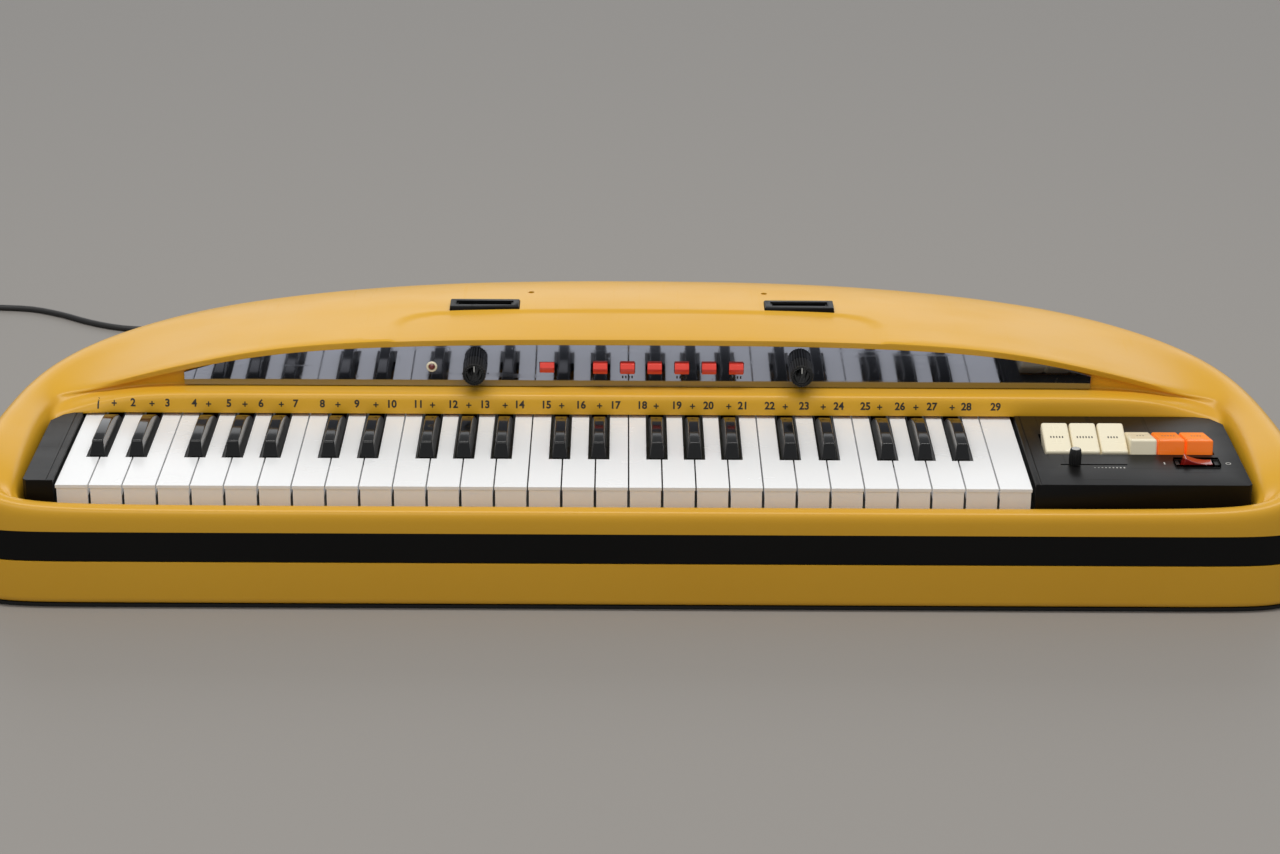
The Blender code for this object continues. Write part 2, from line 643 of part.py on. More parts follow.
def buttons():
    red = material("red_button", (0.6, 0.03, 0.015), 0.3)
    w, h = BUTTON[0] / 2, BUTTON[1] / 2
    for name, x in button_places().items():
        proud = STOP_PROUD if name == "stop_button" else RHYTHM_PROUD
        face = PANEL_FACE_Y - proud
        side = [(face + 1.5 * MM, -h), (face, 0), (face + 1.5 * MM, h), (10 * MM, h), (10 * MM, -h)]
        mesh = extruded([(y, CONTROL_Z + z) for y, z in side], x - w, x + w, "X")
        button = add(name, mesh, red, (x, 0, CONTROL_Z))
        flange = box_mesh((x - w - 1.6 * MM, 2 * MM, CONTROL_Z - h - 1.6 * MM),
                          (x + w + 1.6 * MM, 4 * MM, CONTROL_Z + h + 1.6 * MM))
        cut(button, cutter(name + "_flange", flange), "UNION")


def knobs():
    flutes = 14
    for name, x in (("knob_left", -KNOB_X), ("knob_right", KNOB_X)):
        ring = []
        for i in range(flutes * 2):
            radius = KNOB_RADIUS if i % 2 else KNOB_RADIUS - 1.1 * MM
            angle = math.tau * i / (flutes * 2)
            ring.append((x + radius * math.cos(angle), CONTROL_Z + radius * math.sin(angle)))
        mesh = extruded(ring, PANEL_FACE_Y - KNOB_PROUD, PANEL_FACE_Y - 3 * MM, "Y")
        knob = add(name, mesh, black(), (x, 0, CONTROL_Z))
        shaft = bmesh.new()
        lie = Matrix.Translation((x, 1.5 * MM, CONTROL_Z)) @ Matrix.Rotation(math.pi / 2, 4, "X")
        bmesh.ops.create_cone(shaft, cap_ends=True, segments=12, radius1=3.2 * MM, radius2=3.2 * MM,
                              depth=18 * MM, matrix=lie)
        cut(knob, cutter(name + "_shaft", shaft), "UNION")


def music_rest_sockets():
    for side, x in zip(("left", "right"), SOCKET_X):
        w, d, h = (s / 2 for s in SOCKET_SIZE)
        mesh = box_mesh((x - w, SOCKET_Y - d, SOCKET_TOP - 2 * h), (x + w, SOCKET_Y + d, SOCKET_TOP))
        socket = add(f"music_rest_socket_{side}", mesh, black())
        a, b, depth = SOCKET_SLOT
        slot = box_mesh((x - a / 2, SOCKET_Y - b / 2, SOCKET_TOP - depth),
                        (x + a / 2, SOCKET_Y + b / 2, SOCKET_TOP + 5 * MM))
        cut(socket, cutter(f"slot_{side}", slot))


# Mains lead
def cord_gland():
    x, y, z = GLAND_AT
    mesh = bmesh.new()
    for near, far, big, small in ((0.6, 4, 8, 7.5), (4, 26, 5.5, 3.6)):
        lie = Matrix.Translation((x, y + (near + far) / 2 * MM, z)) @ Matrix.Rotation(-math.pi / 2, 4, "X")
        bmesh.ops.create_cone(mesh, cap_ends=True, segments=12, radius1=big * MM, radius2=small * MM,
                              depth=(far - near) * MM, matrix=lie)
    gland = add("cord_gland", mesh, black())
    core = box_mesh((x - 1 * MM, y + 2 * MM, z - 1 * MM), (x + 1 * MM, y + 8 * MM, z + 1 * MM))
    cut(gland, cutter("gland_core", core), "UNION")


def smooth_route(points, steps):
    """Points on the curve that passes through the route's own points."""
    ends = [points[0] * 2 - points[1]] + points + [points[-1] * 2 - points[-2]]
    made = []
    for a, b, c, d in zip(ends, ends[1:], ends[2:], ends[3:]):
        for step in range(steps):
            u = step / steps
            made.append(0.5 * (2 * b + (c - a) * u + (2 * a - 5 * b + 4 * c - d) * u**2
                               + (3 * b - a - 3 * c + d) * u**3))
    return made + [points[-1]]


def mains_cord():
    route = smooth_route([Vector(p) * MM for p in CORD_ROUTE], 3)
    curve = bpy.data.curves.new("mains_cord", "CURVE")
    curve.dimensions = "3D"
    curve.bevel_depth = CORD_DIAMETER / 2
    curve.bevel_resolution = 2
    curve.use_fill_caps = True
    line = curve.splines.new("POLY")
    line.points.add(len(route) - 1)
    for point, at in zip(line.points, route):
        point.co = (*at, 1)
    curve.materials.append(material("black_rubber", (0.015, 0.015, 0.015), 0.45))
    place(bpy.data.objects.new("mains_cord", curve), on_floor=True)


def cord_coil():
    low, high = GAP / MM, (GAP + COIL_SECTION) / MM
    inner, outer = ((COIL_RADIUS + side * COIL_SECTION / 2) / MM for side in (-1, 1))
    profile = [(outer, high), (outer, low), (inner, low), (inner, high)]
    rubber = material("black_rubber", (0.015, 0.015, 0.015), 0.45)
    turned_piece("cord_coil", profile, (*COIL_CENTRE, 0), rubber, ring=True, on_floor=True)


def mains_plug():
    """A moulded two-pin plug, lying across the top of the coil."""
    x, y = PLUG_REAR
    low = COIL_SECTION + 2 * GAP
    body = [(0, -4), (18, -6.5), (36, -12.5), (40, -12.5), (40, 12.5), (36, 12.5), (18, 6.5), (0, 4)]
    mesh = extruded([(x + b * MM, y + a * MM) for a, b in body], low, low + 13 * MM)
    plug = add("mains_plug", mesh, black(), on_floor=True)
    for i, side in enumerate((-9.5, 9.5)):
        pin = bmesh.new()
        middle = Matrix.Translation((x + side * MM, y + 49 * MM, low + 6.5 * MM))
        lie = middle @ Matrix.Rotation(math.pi / 2, 4, "X")
        bmesh.ops.create_cone(pin, cap_ends=True, segments=10, radius1=2 * MM, radius2=2 * MM,
                              depth=20 * MM, matrix=lie)
        cut(plug, cutter(f"pin_{i}", pin, on_floor=True), "UNION")


def main():
    clear_scene()
    upper_shell()
    lower_shell()
    trim_band()
    key_chassis()
    boards()
    transformer()
    speaker()
    key_comb("low_octave_keys", 0, 7)
    single_keys(7, 21)
    key_comb("high_octave_keys", 21, NATURALS)
    left_end_block()
    control_panel()
    tabs()
    volume_slider()
    power_rocker()
    mirror_panel()
    buttons()
    knobs()
    music_rest_sockets()
    cord_gland()
    mains_cord()
    cord_coil()
    mains_plug()


main()
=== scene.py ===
"""Looks of a portable 49-key electronic organ: yellow moulded case, keyboard, switches, lead.

Metres, +Z up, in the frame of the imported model. Sizes in the classes are millimetres, and heights
are above the case's own zero level, which the feet hold LIFT above the floor.
"""

import json
import logging
import math
from dataclasses import dataclass
from enum import Enum
from typing import Callable, ClassVar, Sequence

import bmesh
import bpy
from mathutils import Matrix, Vector
from mathutils.bvhtree import BVHTree

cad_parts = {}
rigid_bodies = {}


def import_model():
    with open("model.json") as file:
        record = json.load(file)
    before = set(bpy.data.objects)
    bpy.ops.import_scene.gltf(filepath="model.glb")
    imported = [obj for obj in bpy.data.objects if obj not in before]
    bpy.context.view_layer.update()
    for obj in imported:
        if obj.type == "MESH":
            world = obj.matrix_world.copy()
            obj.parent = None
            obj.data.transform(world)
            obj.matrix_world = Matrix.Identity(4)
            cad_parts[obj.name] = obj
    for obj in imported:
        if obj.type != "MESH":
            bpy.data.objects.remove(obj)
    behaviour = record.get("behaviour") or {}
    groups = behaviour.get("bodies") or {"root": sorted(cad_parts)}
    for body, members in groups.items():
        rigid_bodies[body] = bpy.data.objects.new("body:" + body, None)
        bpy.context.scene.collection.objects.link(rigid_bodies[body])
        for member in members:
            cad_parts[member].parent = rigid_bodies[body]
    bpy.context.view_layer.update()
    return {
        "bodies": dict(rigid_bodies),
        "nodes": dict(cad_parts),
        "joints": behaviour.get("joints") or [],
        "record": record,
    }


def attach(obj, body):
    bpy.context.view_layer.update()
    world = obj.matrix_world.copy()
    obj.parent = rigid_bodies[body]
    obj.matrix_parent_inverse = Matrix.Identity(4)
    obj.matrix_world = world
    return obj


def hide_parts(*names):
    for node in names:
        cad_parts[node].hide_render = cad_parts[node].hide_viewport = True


MM = 0.001
LIFT = 5.0
CASE = "case"
LOG = logging.getLogger("organ")
COAT_ROUGHNESS = 0.06

Point = tuple[float, float, float]
Flat = tuple[float, float]
Colour = tuple[float, float, float]

DUST_TONE: Colour = (0.42, 0.38, 0.32)


class Slot(Enum):
    """Material slots of the record."""

    CASE = "yellow_case"
    BLACK = "black_plastic"
    MIRROR = "mirror"
    STEEL = "zinc_steel"
    BOARD = "circuit_board"
    IRON = "iron_core"
    SPEAKER = "speaker_frame"
    RUBBER = "black_rubber"
    WHITE_KEY = "white_key"
    BLACK_KEY = "black_key"
    CREAM = "cream_plastic"
    ORANGE = "orange_plastic"
    RED = "red_button"
    LENS = "red_lens"


class Axis(Enum):
    """Direction that a flat outline is pulled along."""

    X = 0
    Y = 1
    Z = 2


class Lean(Enum):
    """Which way a see-saw tab rests."""

    FRONT_UP = 0.0
    FRONT_DOWN = 29.0


def at(x: float, y: float, z: float) -> Vector:
    """A point of the case, given in its own millimetres."""
    return Vector((x, y, z + LIFT)) * MM


# ---------------------------------------------------------------- shared shader effects


class Effect:
    """A shader node group with named inputs and outputs, made once and used in many materials."""

    def __init__(self, name: str, inputs: dict[str, float | Colour],
                 outputs: dict[str, str]) -> None:
        """Makes the group's sockets.

        Args:
            name: the group's name.
            inputs: each input's name and default; a triple is a colour.
            outputs: each output's name and socket type.
        """
        self.tree = bpy.data.node_groups.new(name, "ShaderNodeTree")
        for label, value in inputs.items():
            kind = "NodeSocketColor" if isinstance(value, tuple) else "NodeSocketFloat"
            socket = self.tree.interface.new_socket(name=label, in_out="INPUT", socket_type=kind)
            socket.default_value = (*value, 1.0) if isinstance(value, tuple) else value
        for label, kind in outputs.items():
            self.tree.interface.new_socket(name=label, in_out="OUTPUT", socket_type=kind)
        self.given = self.tree.nodes.new("NodeGroupInput")
        self.result = self.tree.nodes.new("NodeGroupOutput")
        self.place = self.tree.nodes.new("ShaderNodeTexCoord").outputs["Object"]

    def join(self, source: bpy.types.NodeSocket, target: bpy.types.NodeSocket) -> None:
        """Links two sockets."""
        self.tree.links.new(source, target)

    def noise(self, scale: bpy.types.NodeSocket | float, detail: float = 3.0,
              stretch: Point = (1.0, 1.0, 1.0)) -> bpy.types.NodeSocket:
        """Noise over the object's own coordinates.

        Args:
            scale: a socket or a number of repeats per metre.
            detail: how many finer layers it has.
            stretch: scale along each axis.

        Returns:
            The noise's value.
        """
        turn = self.tree.nodes.new("ShaderNodeMapping")
        turn.inputs["Scale"].default_value = stretch
        self.join(self.place, turn.inputs["Vector"])
        cloud = self.tree.nodes.new("ShaderNodeTexNoise")
        cloud.inputs["Detail"].default_value = detail
        if isinstance(scale, float):
            cloud.inputs["Scale"].default_value = scale
        else:
            self.join(scale, cloud.inputs["Scale"])
        self.join(turn.outputs["Vector"], cloud.inputs["Vector"])
        return cloud.outputs["Fac"]

    def between(self, value: bpy.types.NodeSocket, low: float, high: float,
                to: Flat = (0.0, 1.0)) -> bpy.types.NodeSocket:
        """A value's range stretched to another, and held inside it."""
        span = self.tree.nodes.new("ShaderNodeMapRange")
        for label, number in zip(("From Min", "From Max", "To Min", "To Max"), (low, high, *to)):
            span.inputs[label].default_value = number
        self.join(value, span.inputs["Value"])
        return span.outputs["Result"]

    def math(self, how: str, *values: bpy.types.NodeSocket | float) -> bpy.types.NodeSocket:
        """One Math node of sockets or numbers."""
        node = self.tree.nodes.new("ShaderNodeMath")
        node.operation = how
        for socket, value in zip(node.inputs, values):
            if isinstance(value, float):
                socket.default_value = value
            else:
                self.join(value, socket)
        return node.outputs["Value"]


@dataclass
class Effects:
    """The effects that the finishes share."""

    tone: Effect
    wear: Effect
    grain: Effect
    dust: Effect

    @classmethod
    def make(cls) -> "Effects":
        """Builds the four groups."""
        return cls(cls.tone_drift(), cls.handled_wear(), cls.moulded_grain(), cls.settled_dust())

    @staticmethod
    def tone_drift() -> Effect:
        """Slow change between two tones, as old plastic shows."""
        made = Effect("tone_drift", {"Tone": (0.5, 0.5, 0.5), "Aged": (0.4, 0.4, 0.4),
                                     "Scale": 6.0,
                                     "Amount": 0.5}, {"Colour": "NodeSocketColor"})
        drift = made.between(made.noise(made.given.outputs["Scale"], 4.0), 0.35, 0.7)
        share = made.math("MULTIPLY", drift, made.given.outputs["Amount"])
        mix = made.tree.nodes.new("ShaderNodeMix")
        mix.data_type = "RGBA"
        colour = [s for s in mix.inputs if s.type == "RGBA"]
        made.join(share, mix.inputs["Factor"])
        made.join(made.given.outputs["Tone"], colour[0])
        made.join(made.given.outputs["Aged"], colour[1])
        made.join([s for s in mix.outputs if s.type == "RGBA"][0], made.result.inputs["Colour"])
        return made

    @staticmethod
    def handled_wear() -> Effect:
        """Roughness of a handled surface: smears, with fine scratches over them."""
        made = Effect("handled_wear", {"Roughness": 0.3, "Smear": 0.1, "Scratch": 0.1},
                      {"Roughness": "NodeSocketFloat"})
        smear = made.between(made.noise(14.0, 5.0, (1.0, 2.2, 1.6)), 0.4, 0.72)
        fine = made.between(made.noise(90.0, 2.0, (0.08, 6.0, 2.0)), 0.63, 0.7)
        cross = made.between(made.noise(70.0, 2.0, (5.0, 0.1, 2.0)), 0.66, 0.72)
        scratch = made.math("MAXIMUM", fine, cross)
        rough = made.math("MULTIPLY", smear, made.given.outputs["Smear"])
        rough = made.math("ADD", rough, made.given.outputs["Roughness"])
        more = made.math("MULTIPLY", scratch, made.given.outputs["Scratch"])
        made.join(made.math("ADD", rough, more), made.result.inputs["Roughness"])
        return made

    @staticmethod
    def moulded_grain() -> Effect:
        """Normal of a moulded surface: long soft waves and a fine grain."""
        made = Effect("moulded_grain", {"Scale": 900.0, "Height": 0.00002, "Wave": 0.0001},
                      {"Normal": "NodeSocketVector"})
        fine = made.math("MULTIPLY", made.noise(made.given.outputs["Scale"], 2.0),
                         made.given.outputs["Height"])
        wave = made.math("MULTIPLY", made.noise(9.0, 1.0), made.given.outputs["Wave"])
        bump = made.tree.nodes.new("ShaderNodeBump")
        bump.inputs["Distance"].default_value = 1.0
        made.join(made.math("ADD", fine, wave), bump.inputs["Height"])
        made.join(bump.outputs["Normal"], made.result.inputs["Normal"])
        return made

    @staticmethod
    def settled_dust() -> Effect:
        """Mask of dust lying on faces that look up, in soft patches."""
        made = Effect("settled_dust", {"Amount": 0.1}, {"Mask": "NodeSocketFloat"})
        shape = made.tree.nodes.new("ShaderNodeNewGeometry")
        parts = made.tree.nodes.new("ShaderNodeSeparateXYZ")
        made.join(shape.outputs["Normal"], parts.inputs["Vector"])
        up = made.between(parts.outputs["Z"], 0.3, 0.95)
        patch = made.between(made.noise(22.0, 6.0), 0.3, 0.8)
        mask = made.math("MULTIPLY", up, patch)
        share = made.math("MULTIPLY", mask, made.given.outputs["Amount"])
        made.join(share, made.result.inputs["Mask"])
        return made


# ---------------------------------------------------------------- finishes


@dataclass(frozen=True)
class Finish:
    """A surface finish: colours, gloss and the amount of each shared effect."""

    name: str
    slot: Slot
    tone: Colour
    aged: Colour
    roughness: float
    smear: float = 0.08
    scratch: float = 0.05
    grain: float = 0.000015
    grain_scale: float = 900.0
    wave: float = 0.0
    metallic: float = 0.0
    coat: float = 0.0
    dust: float = 0.05
    drift: float = 0.6
    drift_scale: float = 6.0
    specular: float = 0.5
    # Emission in the finish's own tone: painted glow that lightens parts which are no lamps
    painted_glow: float = 0.0

    def material(self, effects: Effects) -> bpy.types.Material:
        """The finish as a material, made the first time it is asked for.

        Args:
            effects: the shared shader groups.

        Returns:
            The material.
        """
        made = bpy.data.materials.get(self.name)
        if made is not None:
            return made
        made = bpy.data.materials.new(self.name)
        made.use_nodes = True
        tree = made.node_tree
        shader = tree.nodes["Principled BSDF"]
        shader.inputs["Metallic"].default_value = self.metallic
        shader.inputs["Coat Weight"].default_value = self.coat
        shader.inputs["Coat Roughness"].default_value = COAT_ROUGHNESS
        shader.inputs["Specular IOR Level"].default_value = self.specular

        def placed(effect: Effect, **values: float | Colour) -> bpy.types.ShaderNode:
            """One of the shared groups, with its values set."""
            node = tree.nodes.new("ShaderNodeGroup")
            node.node_tree = effect.tree
            for label, value in values.items():
                plain = (*value, 1.0) if isinstance(value, tuple) else value
                node.inputs[label].default_value = plain
            return node

        tone = placed(effects.tone, Tone=self.tone, Aged=self.aged, Scale=self.drift_scale,
                      Amount=self.drift)
        wear = placed(effects.wear, Roughness=self.roughness, Smear=self.smear,
                      Scratch=self.scratch)
        grain = placed(effects.grain, Scale=self.grain_scale, Height=self.grain, Wave=self.wave)
        dust = placed(effects.dust, Amount=self.dust)
        mix = tree.nodes.new("ShaderNodeMix")
        mix.data_type = "RGBA"
        first, second = [s for s in mix.inputs if s.type == "RGBA"]
        second.default_value = (*DUST_TONE, 1.0)
        tree.links.new(dust.outputs["Mask"], mix.inputs["Factor"])
        tree.links.new(tone.outputs["Colour"], first)
        tree.links.new([s for s in mix.outputs if s.type == "RGBA"][0],
                       shader.inputs["Base Color"])
        tree.links.new(wear.outputs["Roughness"], shader.inputs["Roughness"])
        tree.links.new(grain.outputs["Normal"], shader.inputs["Normal"])
        # Painted glow: the tone is given off as light, to brighten faces that the lamps leave too
        # dark
        if self.painted_glow:
            shader.inputs["Emission Strength"].default_value = self.painted_glow
            tree.links.new(tone.outputs["Colour"], shader.inputs["Emission Color"])
        return made


class Finishes:
    """Every finish of the organ."""

    CASE = Finish("mustard_case", Slot.CASE, (0.755, 0.405, 0.023), (0.71, 0.365, 0.018), 0.30,
                  smear=0.10, wave=0.00025, dust=0.05, drift_scale=4.0, specular=0.42)
    BAND = Finish("gloss_black_band", Slot.BLACK, (0.003, 0.003, 0.003), (0.005, 0.0048, 0.0045),
                  0.30, scratch=0.12, dust=0.0, specular=0.15)
    BLACK = Finish("satin_black", Slot.BLACK, (0.003, 0.003, 0.003), (0.005, 0.0048, 0.0048), 0.34,
                   grain=0.00002, grain_scale=1600.0, dust=0.01, scratch=0.1, specular=0.17)
    KNOB = Finish("ribbed_black", Slot.BLACK, (0.010, 0.010, 0.010), (0.018, 0.017, 0.016), 0.28,
                  dust=0.02)
    # Matt black for the button flanges and for the board that paints the shadow under the tray
    MATT = Finish("matt_black", Slot.BLACK, (0.003, 0.003, 0.003), (0.005, 0.005, 0.005), 0.7,
                  dust=0.0)
    MARK = Finish("pale_print", Slot.BLACK, (0.55, 0.54, 0.50), (0.42, 0.41, 0.38), 0.6, dust=0.0)
    INK = Finish("dark_print", Slot.BLACK, (0.02, 0.018, 0.015), (0.035, 0.03, 0.025), 0.55,
                 dust=0.0)
    KEY = Finish("white_key_plastic", Slot.WHITE_KEY, (0.90, 0.90, 0.895), (0.86, 0.855, 0.84),
                 0.24, smear=0.05, scratch=0.0, grain=0.0, dust=0.0, drift=0.4, drift_scale=9.0)
    # Key bodies and aprons: a faint painted glow brightens their shaded front faces
    KEY_BODY = Finish("key_body_plastic", Slot.WHITE_KEY, (0.90, 0.91, 0.92), (0.86, 0.85, 0.84),
                      0.45, dust=0.0, drift_scale=16.0, painted_glow=0.05)
    SHARP = Finish("black_key_plastic", Slot.BLACK_KEY, (0.006, 0.006, 0.006),
                   (0.010, 0.010, 0.010), 0.12, smear=0.04, coat=0.15, dust=0.0, specular=0.38)
    FELT = Finish("red_felt", Slot.RED, (0.50, 0.03, 0.015), (0.38, 0.02, 0.012), 0.95,
                  grain=0.0003, grain_scale=2500.0, specular=0.1, dust=0.0)
    # Cream tabs and the lamp's ring: a painted glow brightens their faces
    CREAM = Finish("cream_tab", Slot.CREAM, (0.88, 0.80, 0.60), (0.83, 0.74, 0.53), 0.26,
                   coat=0.25, dust=0.0, painted_glow=0.07, drift_scale=18.0)
    # Orange tabs: a stronger painted glow brightens their fronts
    ORANGE = Finish("orange_tab", Slot.ORANGE, (0.95, 0.20, 0.018), (0.86, 0.16, 0.012), 0.24,
                    coat=0.25, dust=0.0, painted_glow=0.22, drift_scale=18.0)
    RED = Finish("red_push_button", Slot.RED, (0.82, 0.045, 0.022), (0.70, 0.032, 0.016), 0.30,
                 coat=0.3, dust=0.0, drift_scale=30.0)
    # Mains rocker lens: a faint painted glow stands for light passing through the red plastic
    LENS = Finish("red_lens_plastic", Slot.LENS, (0.27, 0.012, 0.008), (0.20, 0.008, 0.006), 0.10,
                  coat=0.8, dust=0.0, painted_glow=0.06, drift_scale=60.0)
    DARK_LENS = Finish("pilot_lens", Slot.LENS, (0.16, 0.008, 0.008), (0.08, 0.004, 0.004), 0.06,
                       coat=1.0, dust=0.0)
    MIRROR = Finish("mirror_sheet", Slot.MIRROR, (0.30, 0.312, 0.362), (0.27, 0.283, 0.33), 0.03,
                    smear=0.05, scratch=0.10, grain=0.0, wave=0.0004, metallic=1.0, dust=0.0)
    STEEL = Finish("zinc_plate", Slot.STEEL, (0.52, 0.51, 0.47), (0.42, 0.42, 0.40), 0.38,
                   metallic=1.0, smear=0.2, dust=0.05)
    SCREW = Finish("dark_screw", Slot.STEEL, (0.10, 0.10, 0.10), (0.06, 0.055, 0.05), 0.4,
                   metallic=1.0, dust=0.0)
    BRASS = Finish("brass_pin", Slot.STEEL, (0.72, 0.60, 0.35), (0.60, 0.48, 0.26), 0.25,
                   metallic=1.0, dust=0.0)
    BOARD = Finish("green_board", Slot.BOARD, (0.035, 0.13, 0.045), (0.05, 0.10, 0.04), 0.4,
                   coat=0.3)
    IRON = Finish("stacked_iron", Slot.IRON, (0.14, 0.13, 0.12), (0.20, 0.14, 0.09), 0.55,
                  metallic=0.7, grain=0.0001, grain_scale=1500.0)
    SPEAKER = Finish("speaker_basket", Slot.SPEAKER, (0.09, 0.09, 0.09), (0.06, 0.06, 0.06), 0.5,
                     metallic=0.5)
    RUBBER = Finish("lead_rubber", Slot.RUBBER, (0.016, 0.016, 0.017), (0.028, 0.027, 0.026), 0.46,
                    grain=0.00004, grain_scale=1800.0, dust=0.10)


# ---------------------------------------------------------------- mesh helpers


class Workshop:
    """Turns meshes into pieces of the organ: material and body."""

    def __init__(self, effects: Effects) -> None:
        """Keeps the shared effects and starts the list of pieces."""
        self.effects = effects
        self.made: list[bpy.types.Object] = []

    def piece(self, name: str, mesh: bmesh.types.BMesh, finish: Finish, body: str = CASE,
              replaces: Sequence[str] = (), smooth: float = 35.0,
              more: Sequence[Finish] = ()) -> bpy.types.Object:
        """A finished piece at the origin, riding on its body.

        Args:
            name: the piece's name.
            mesh: its mesh, which is used up.
            finish: the finish of material index 0.
            body: the CAD body it moves with.
            replaces: CAD nodes that it stands for.
            smooth: edges sharper than this angle stay sharp, in degrees.
            more: finishes of material indices 1 and up.

        Returns:
            The new object.
        """
        bmesh.ops.recalc_face_normals(mesh, faces=mesh.faces)
        data = bpy.data.meshes.new(name)
        mesh.to_mesh(data)
        mesh.free()
        obj = bpy.data.objects.new(name, data)
        bpy.context.scene.collection.objects.link(obj)
        self.dress(obj, finish, body, replaces, more)
        data.shade_smooth()
        data.set_sharp_from_angle(angle=math.radians(smooth))
        return obj

    def dress(self, obj: bpy.types.Object, finish: Finish, body: str = CASE,
              replaces: Sequence[str] = (), more: Sequence[Finish] = ()) -> None:
        """Gives an object its finishes and body, and hides the nodes it stands for."""
        for each in (finish, *more):
            obj.data.materials.append(each.material(self.effects))
        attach(obj, body)
        if replaces:
            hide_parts(*replaces)
        self.made.append(obj)

    def keep_node(self, obj: bpy.types.Object, finish: Finish) -> None:
        """Gives a carried-over CAD node a finish, in place of its own materials."""
        obj.data.materials.clear()
        obj.data.materials.append(finish.material(self.effects))
        self.made.append(obj)

    @staticmethod
    def bake(obj: bpy.types.Object) -> None:
        """Applies an object's modifiers to its mesh."""
        graph = bpy.context.evaluated_depsgraph_get()
        data = bpy.data.meshes.new_from_object(obj.evaluated_get(graph), depsgraph=graph)
        obj.modifiers.clear()
        obj.data = data


def soften(obj: bpy.types.Object, width: float, segments: int = 3, angle: float = 35.0) -> None:
    """Rounds an object's sharp edges with a modifier; width is in millimetres."""
    rounding = obj.modifiers.new("rounding", "BEVEL")
    rounding.width = width * MM
    rounding.segments = segments
    rounding.limit_method = "ANGLE"
    rounding.angle_limit = math.radians(angle)
    rounding.harden_normals = True


def moved(geometry: dict) -> list[bmesh.types.BMVert]:
    """The vertices that an operator made."""
    return [v for v in geometry["geom"] if isinstance(v, bmesh.types.BMVert)]


def pulled(outline: Sequence[Flat], low: float, high: float, axis: Axis) -> bmesh.types.BMesh:
    """A prism: an outline in the plane across an axis, pulled along it.

    Args:
        outline: corners in millimetres, in the order (Y, Z), (X, Z) or (X, Y).
        low: where the prism starts along the axis.
        high: where it ends.
        axis: the direction it is pulled along.

    Returns:
        The closed mesh.
    """
    def corner(a: float, b: float, c: float) -> Vector:
        """A point from its two flat coordinates and its place along the axis."""
        return {Axis.X: at(c, a, b), Axis.Y: at(a, c, b), Axis.Z: at(a, b, c)}[axis]

    mesh = bmesh.new()
    face = mesh.faces.new([mesh.verts.new(corner(a, b, low)) for a, b in outline])
    grown = bmesh.ops.extrude_face_region(mesh, geom=[face])
    step = corner(0, 0, high) - corner(0, 0, low)
    bmesh.ops.translate(mesh, vec=step, verts=moved(grown))
    return mesh


def block(low: Point, high: Point) -> bmesh.types.BMesh:
    """A box between two corners, in millimetres."""
    a, b = at(*low), at(*high)
    mesh = bmesh.new()
    place = Matrix.Translation((a + b) / 2) @ Matrix.Diagonal((*(b - a), 1))
    bmesh.ops.create_cube(mesh, size=1, matrix=place)
    return mesh


def turned(profile: Sequence[Flat], steps: int = 48) -> bmesh.types.BMesh:
    """A profile of radius and height in millimetres, spun once about the Z axis."""
    mesh = bmesh.new()
    dots = [mesh.verts.new((r * MM, 0, z * MM)) for r, z in profile]
    line = [mesh.edges.new(pair) for pair in zip(dots, dots[1:])]
    bmesh.ops.spin(mesh, geom=dots + line, cent=(0, 0, 0), axis=(0, 0, 1), angle=math.tau,
                   steps=steps, use_merge=True)
    bmesh.ops.remove_doubles(mesh, verts=mesh.verts, dist=0.002 * MM)
    return mesh


def stand(mesh: bmesh.types.BMesh, place: Vector, tilt: Matrix = Matrix()) -> bmesh.types.BMesh:
    """Turns a mesh about the origin and then moves it to a place."""
    bmesh.ops.transform(mesh, matrix=Matrix.Translation(place) @ tilt, verts=mesh.verts)
    return mesh


def join_in(target: bmesh.types.BMesh, *others: bmesh.types.BMesh) -> bmesh.types.BMesh:
    """Adds other meshes to one, and uses them up."""
    for other in others:
        bmesh.ops.recalc_face_normals(other, faces=other.faces)
        data = bpy.data.meshes.new("joined")
        other.to_mesh(data)
        other.free()
        target.from_mesh(data)
        bpy.data.meshes.remove(data)
    return target


def round_edges(mesh: bmesh.types.BMesh, width: float, segments: int,
                chosen: Callable[[bmesh.types.BMEdge], bool]) -> None:
    """Bevels the edges that a test picks; width is in millimetres."""
    mesh.normal_update()
    picked = [e for e in mesh.edges if chosen(e)]
    bmesh.ops.bevel(mesh, geom=picked, offset=width * MM, offset_type="OFFSET", segments=segments,
                    profile=0.5, affect="EDGES", clamp_overlap=True, material=-1)


def cut_away(obj: bpy.types.Object, tools: Sequence[bmesh.types.BMesh]) -> None:
    """Cuts meshes out of an object, and applies the result."""
    helpers = []
    for tool in tools:
        bmesh.ops.recalc_face_normals(tool, faces=tool.faces)
        data = bpy.data.meshes.new("tool")
        tool.to_mesh(data)
        tool.free()
        helper = bpy.data.objects.new("tool", data)
        bpy.context.scene.collection.objects.link(helper)
        helpers.append(helper)
        hole = obj.modifiers.new("hole", "BOOLEAN")
        hole.operation = "DIFFERENCE"
        hole.solver = "EXACT"
        hole.object = helper
    bpy.context.view_layer.update()
    Workshop.bake(obj)
    for helper in helpers:
        bpy.data.objects.remove(helper)


def turn_flat(point: Flat, degrees: float) -> Flat:
    """A flat point turned about the origin."""
    c, s = math.cos(math.radians(degrees)), math.sin(math.radians(degrees))
    return point[0] * c - point[1] * s, point[0] * s + point[1] * c


# ---------------------------------------------------------------- case


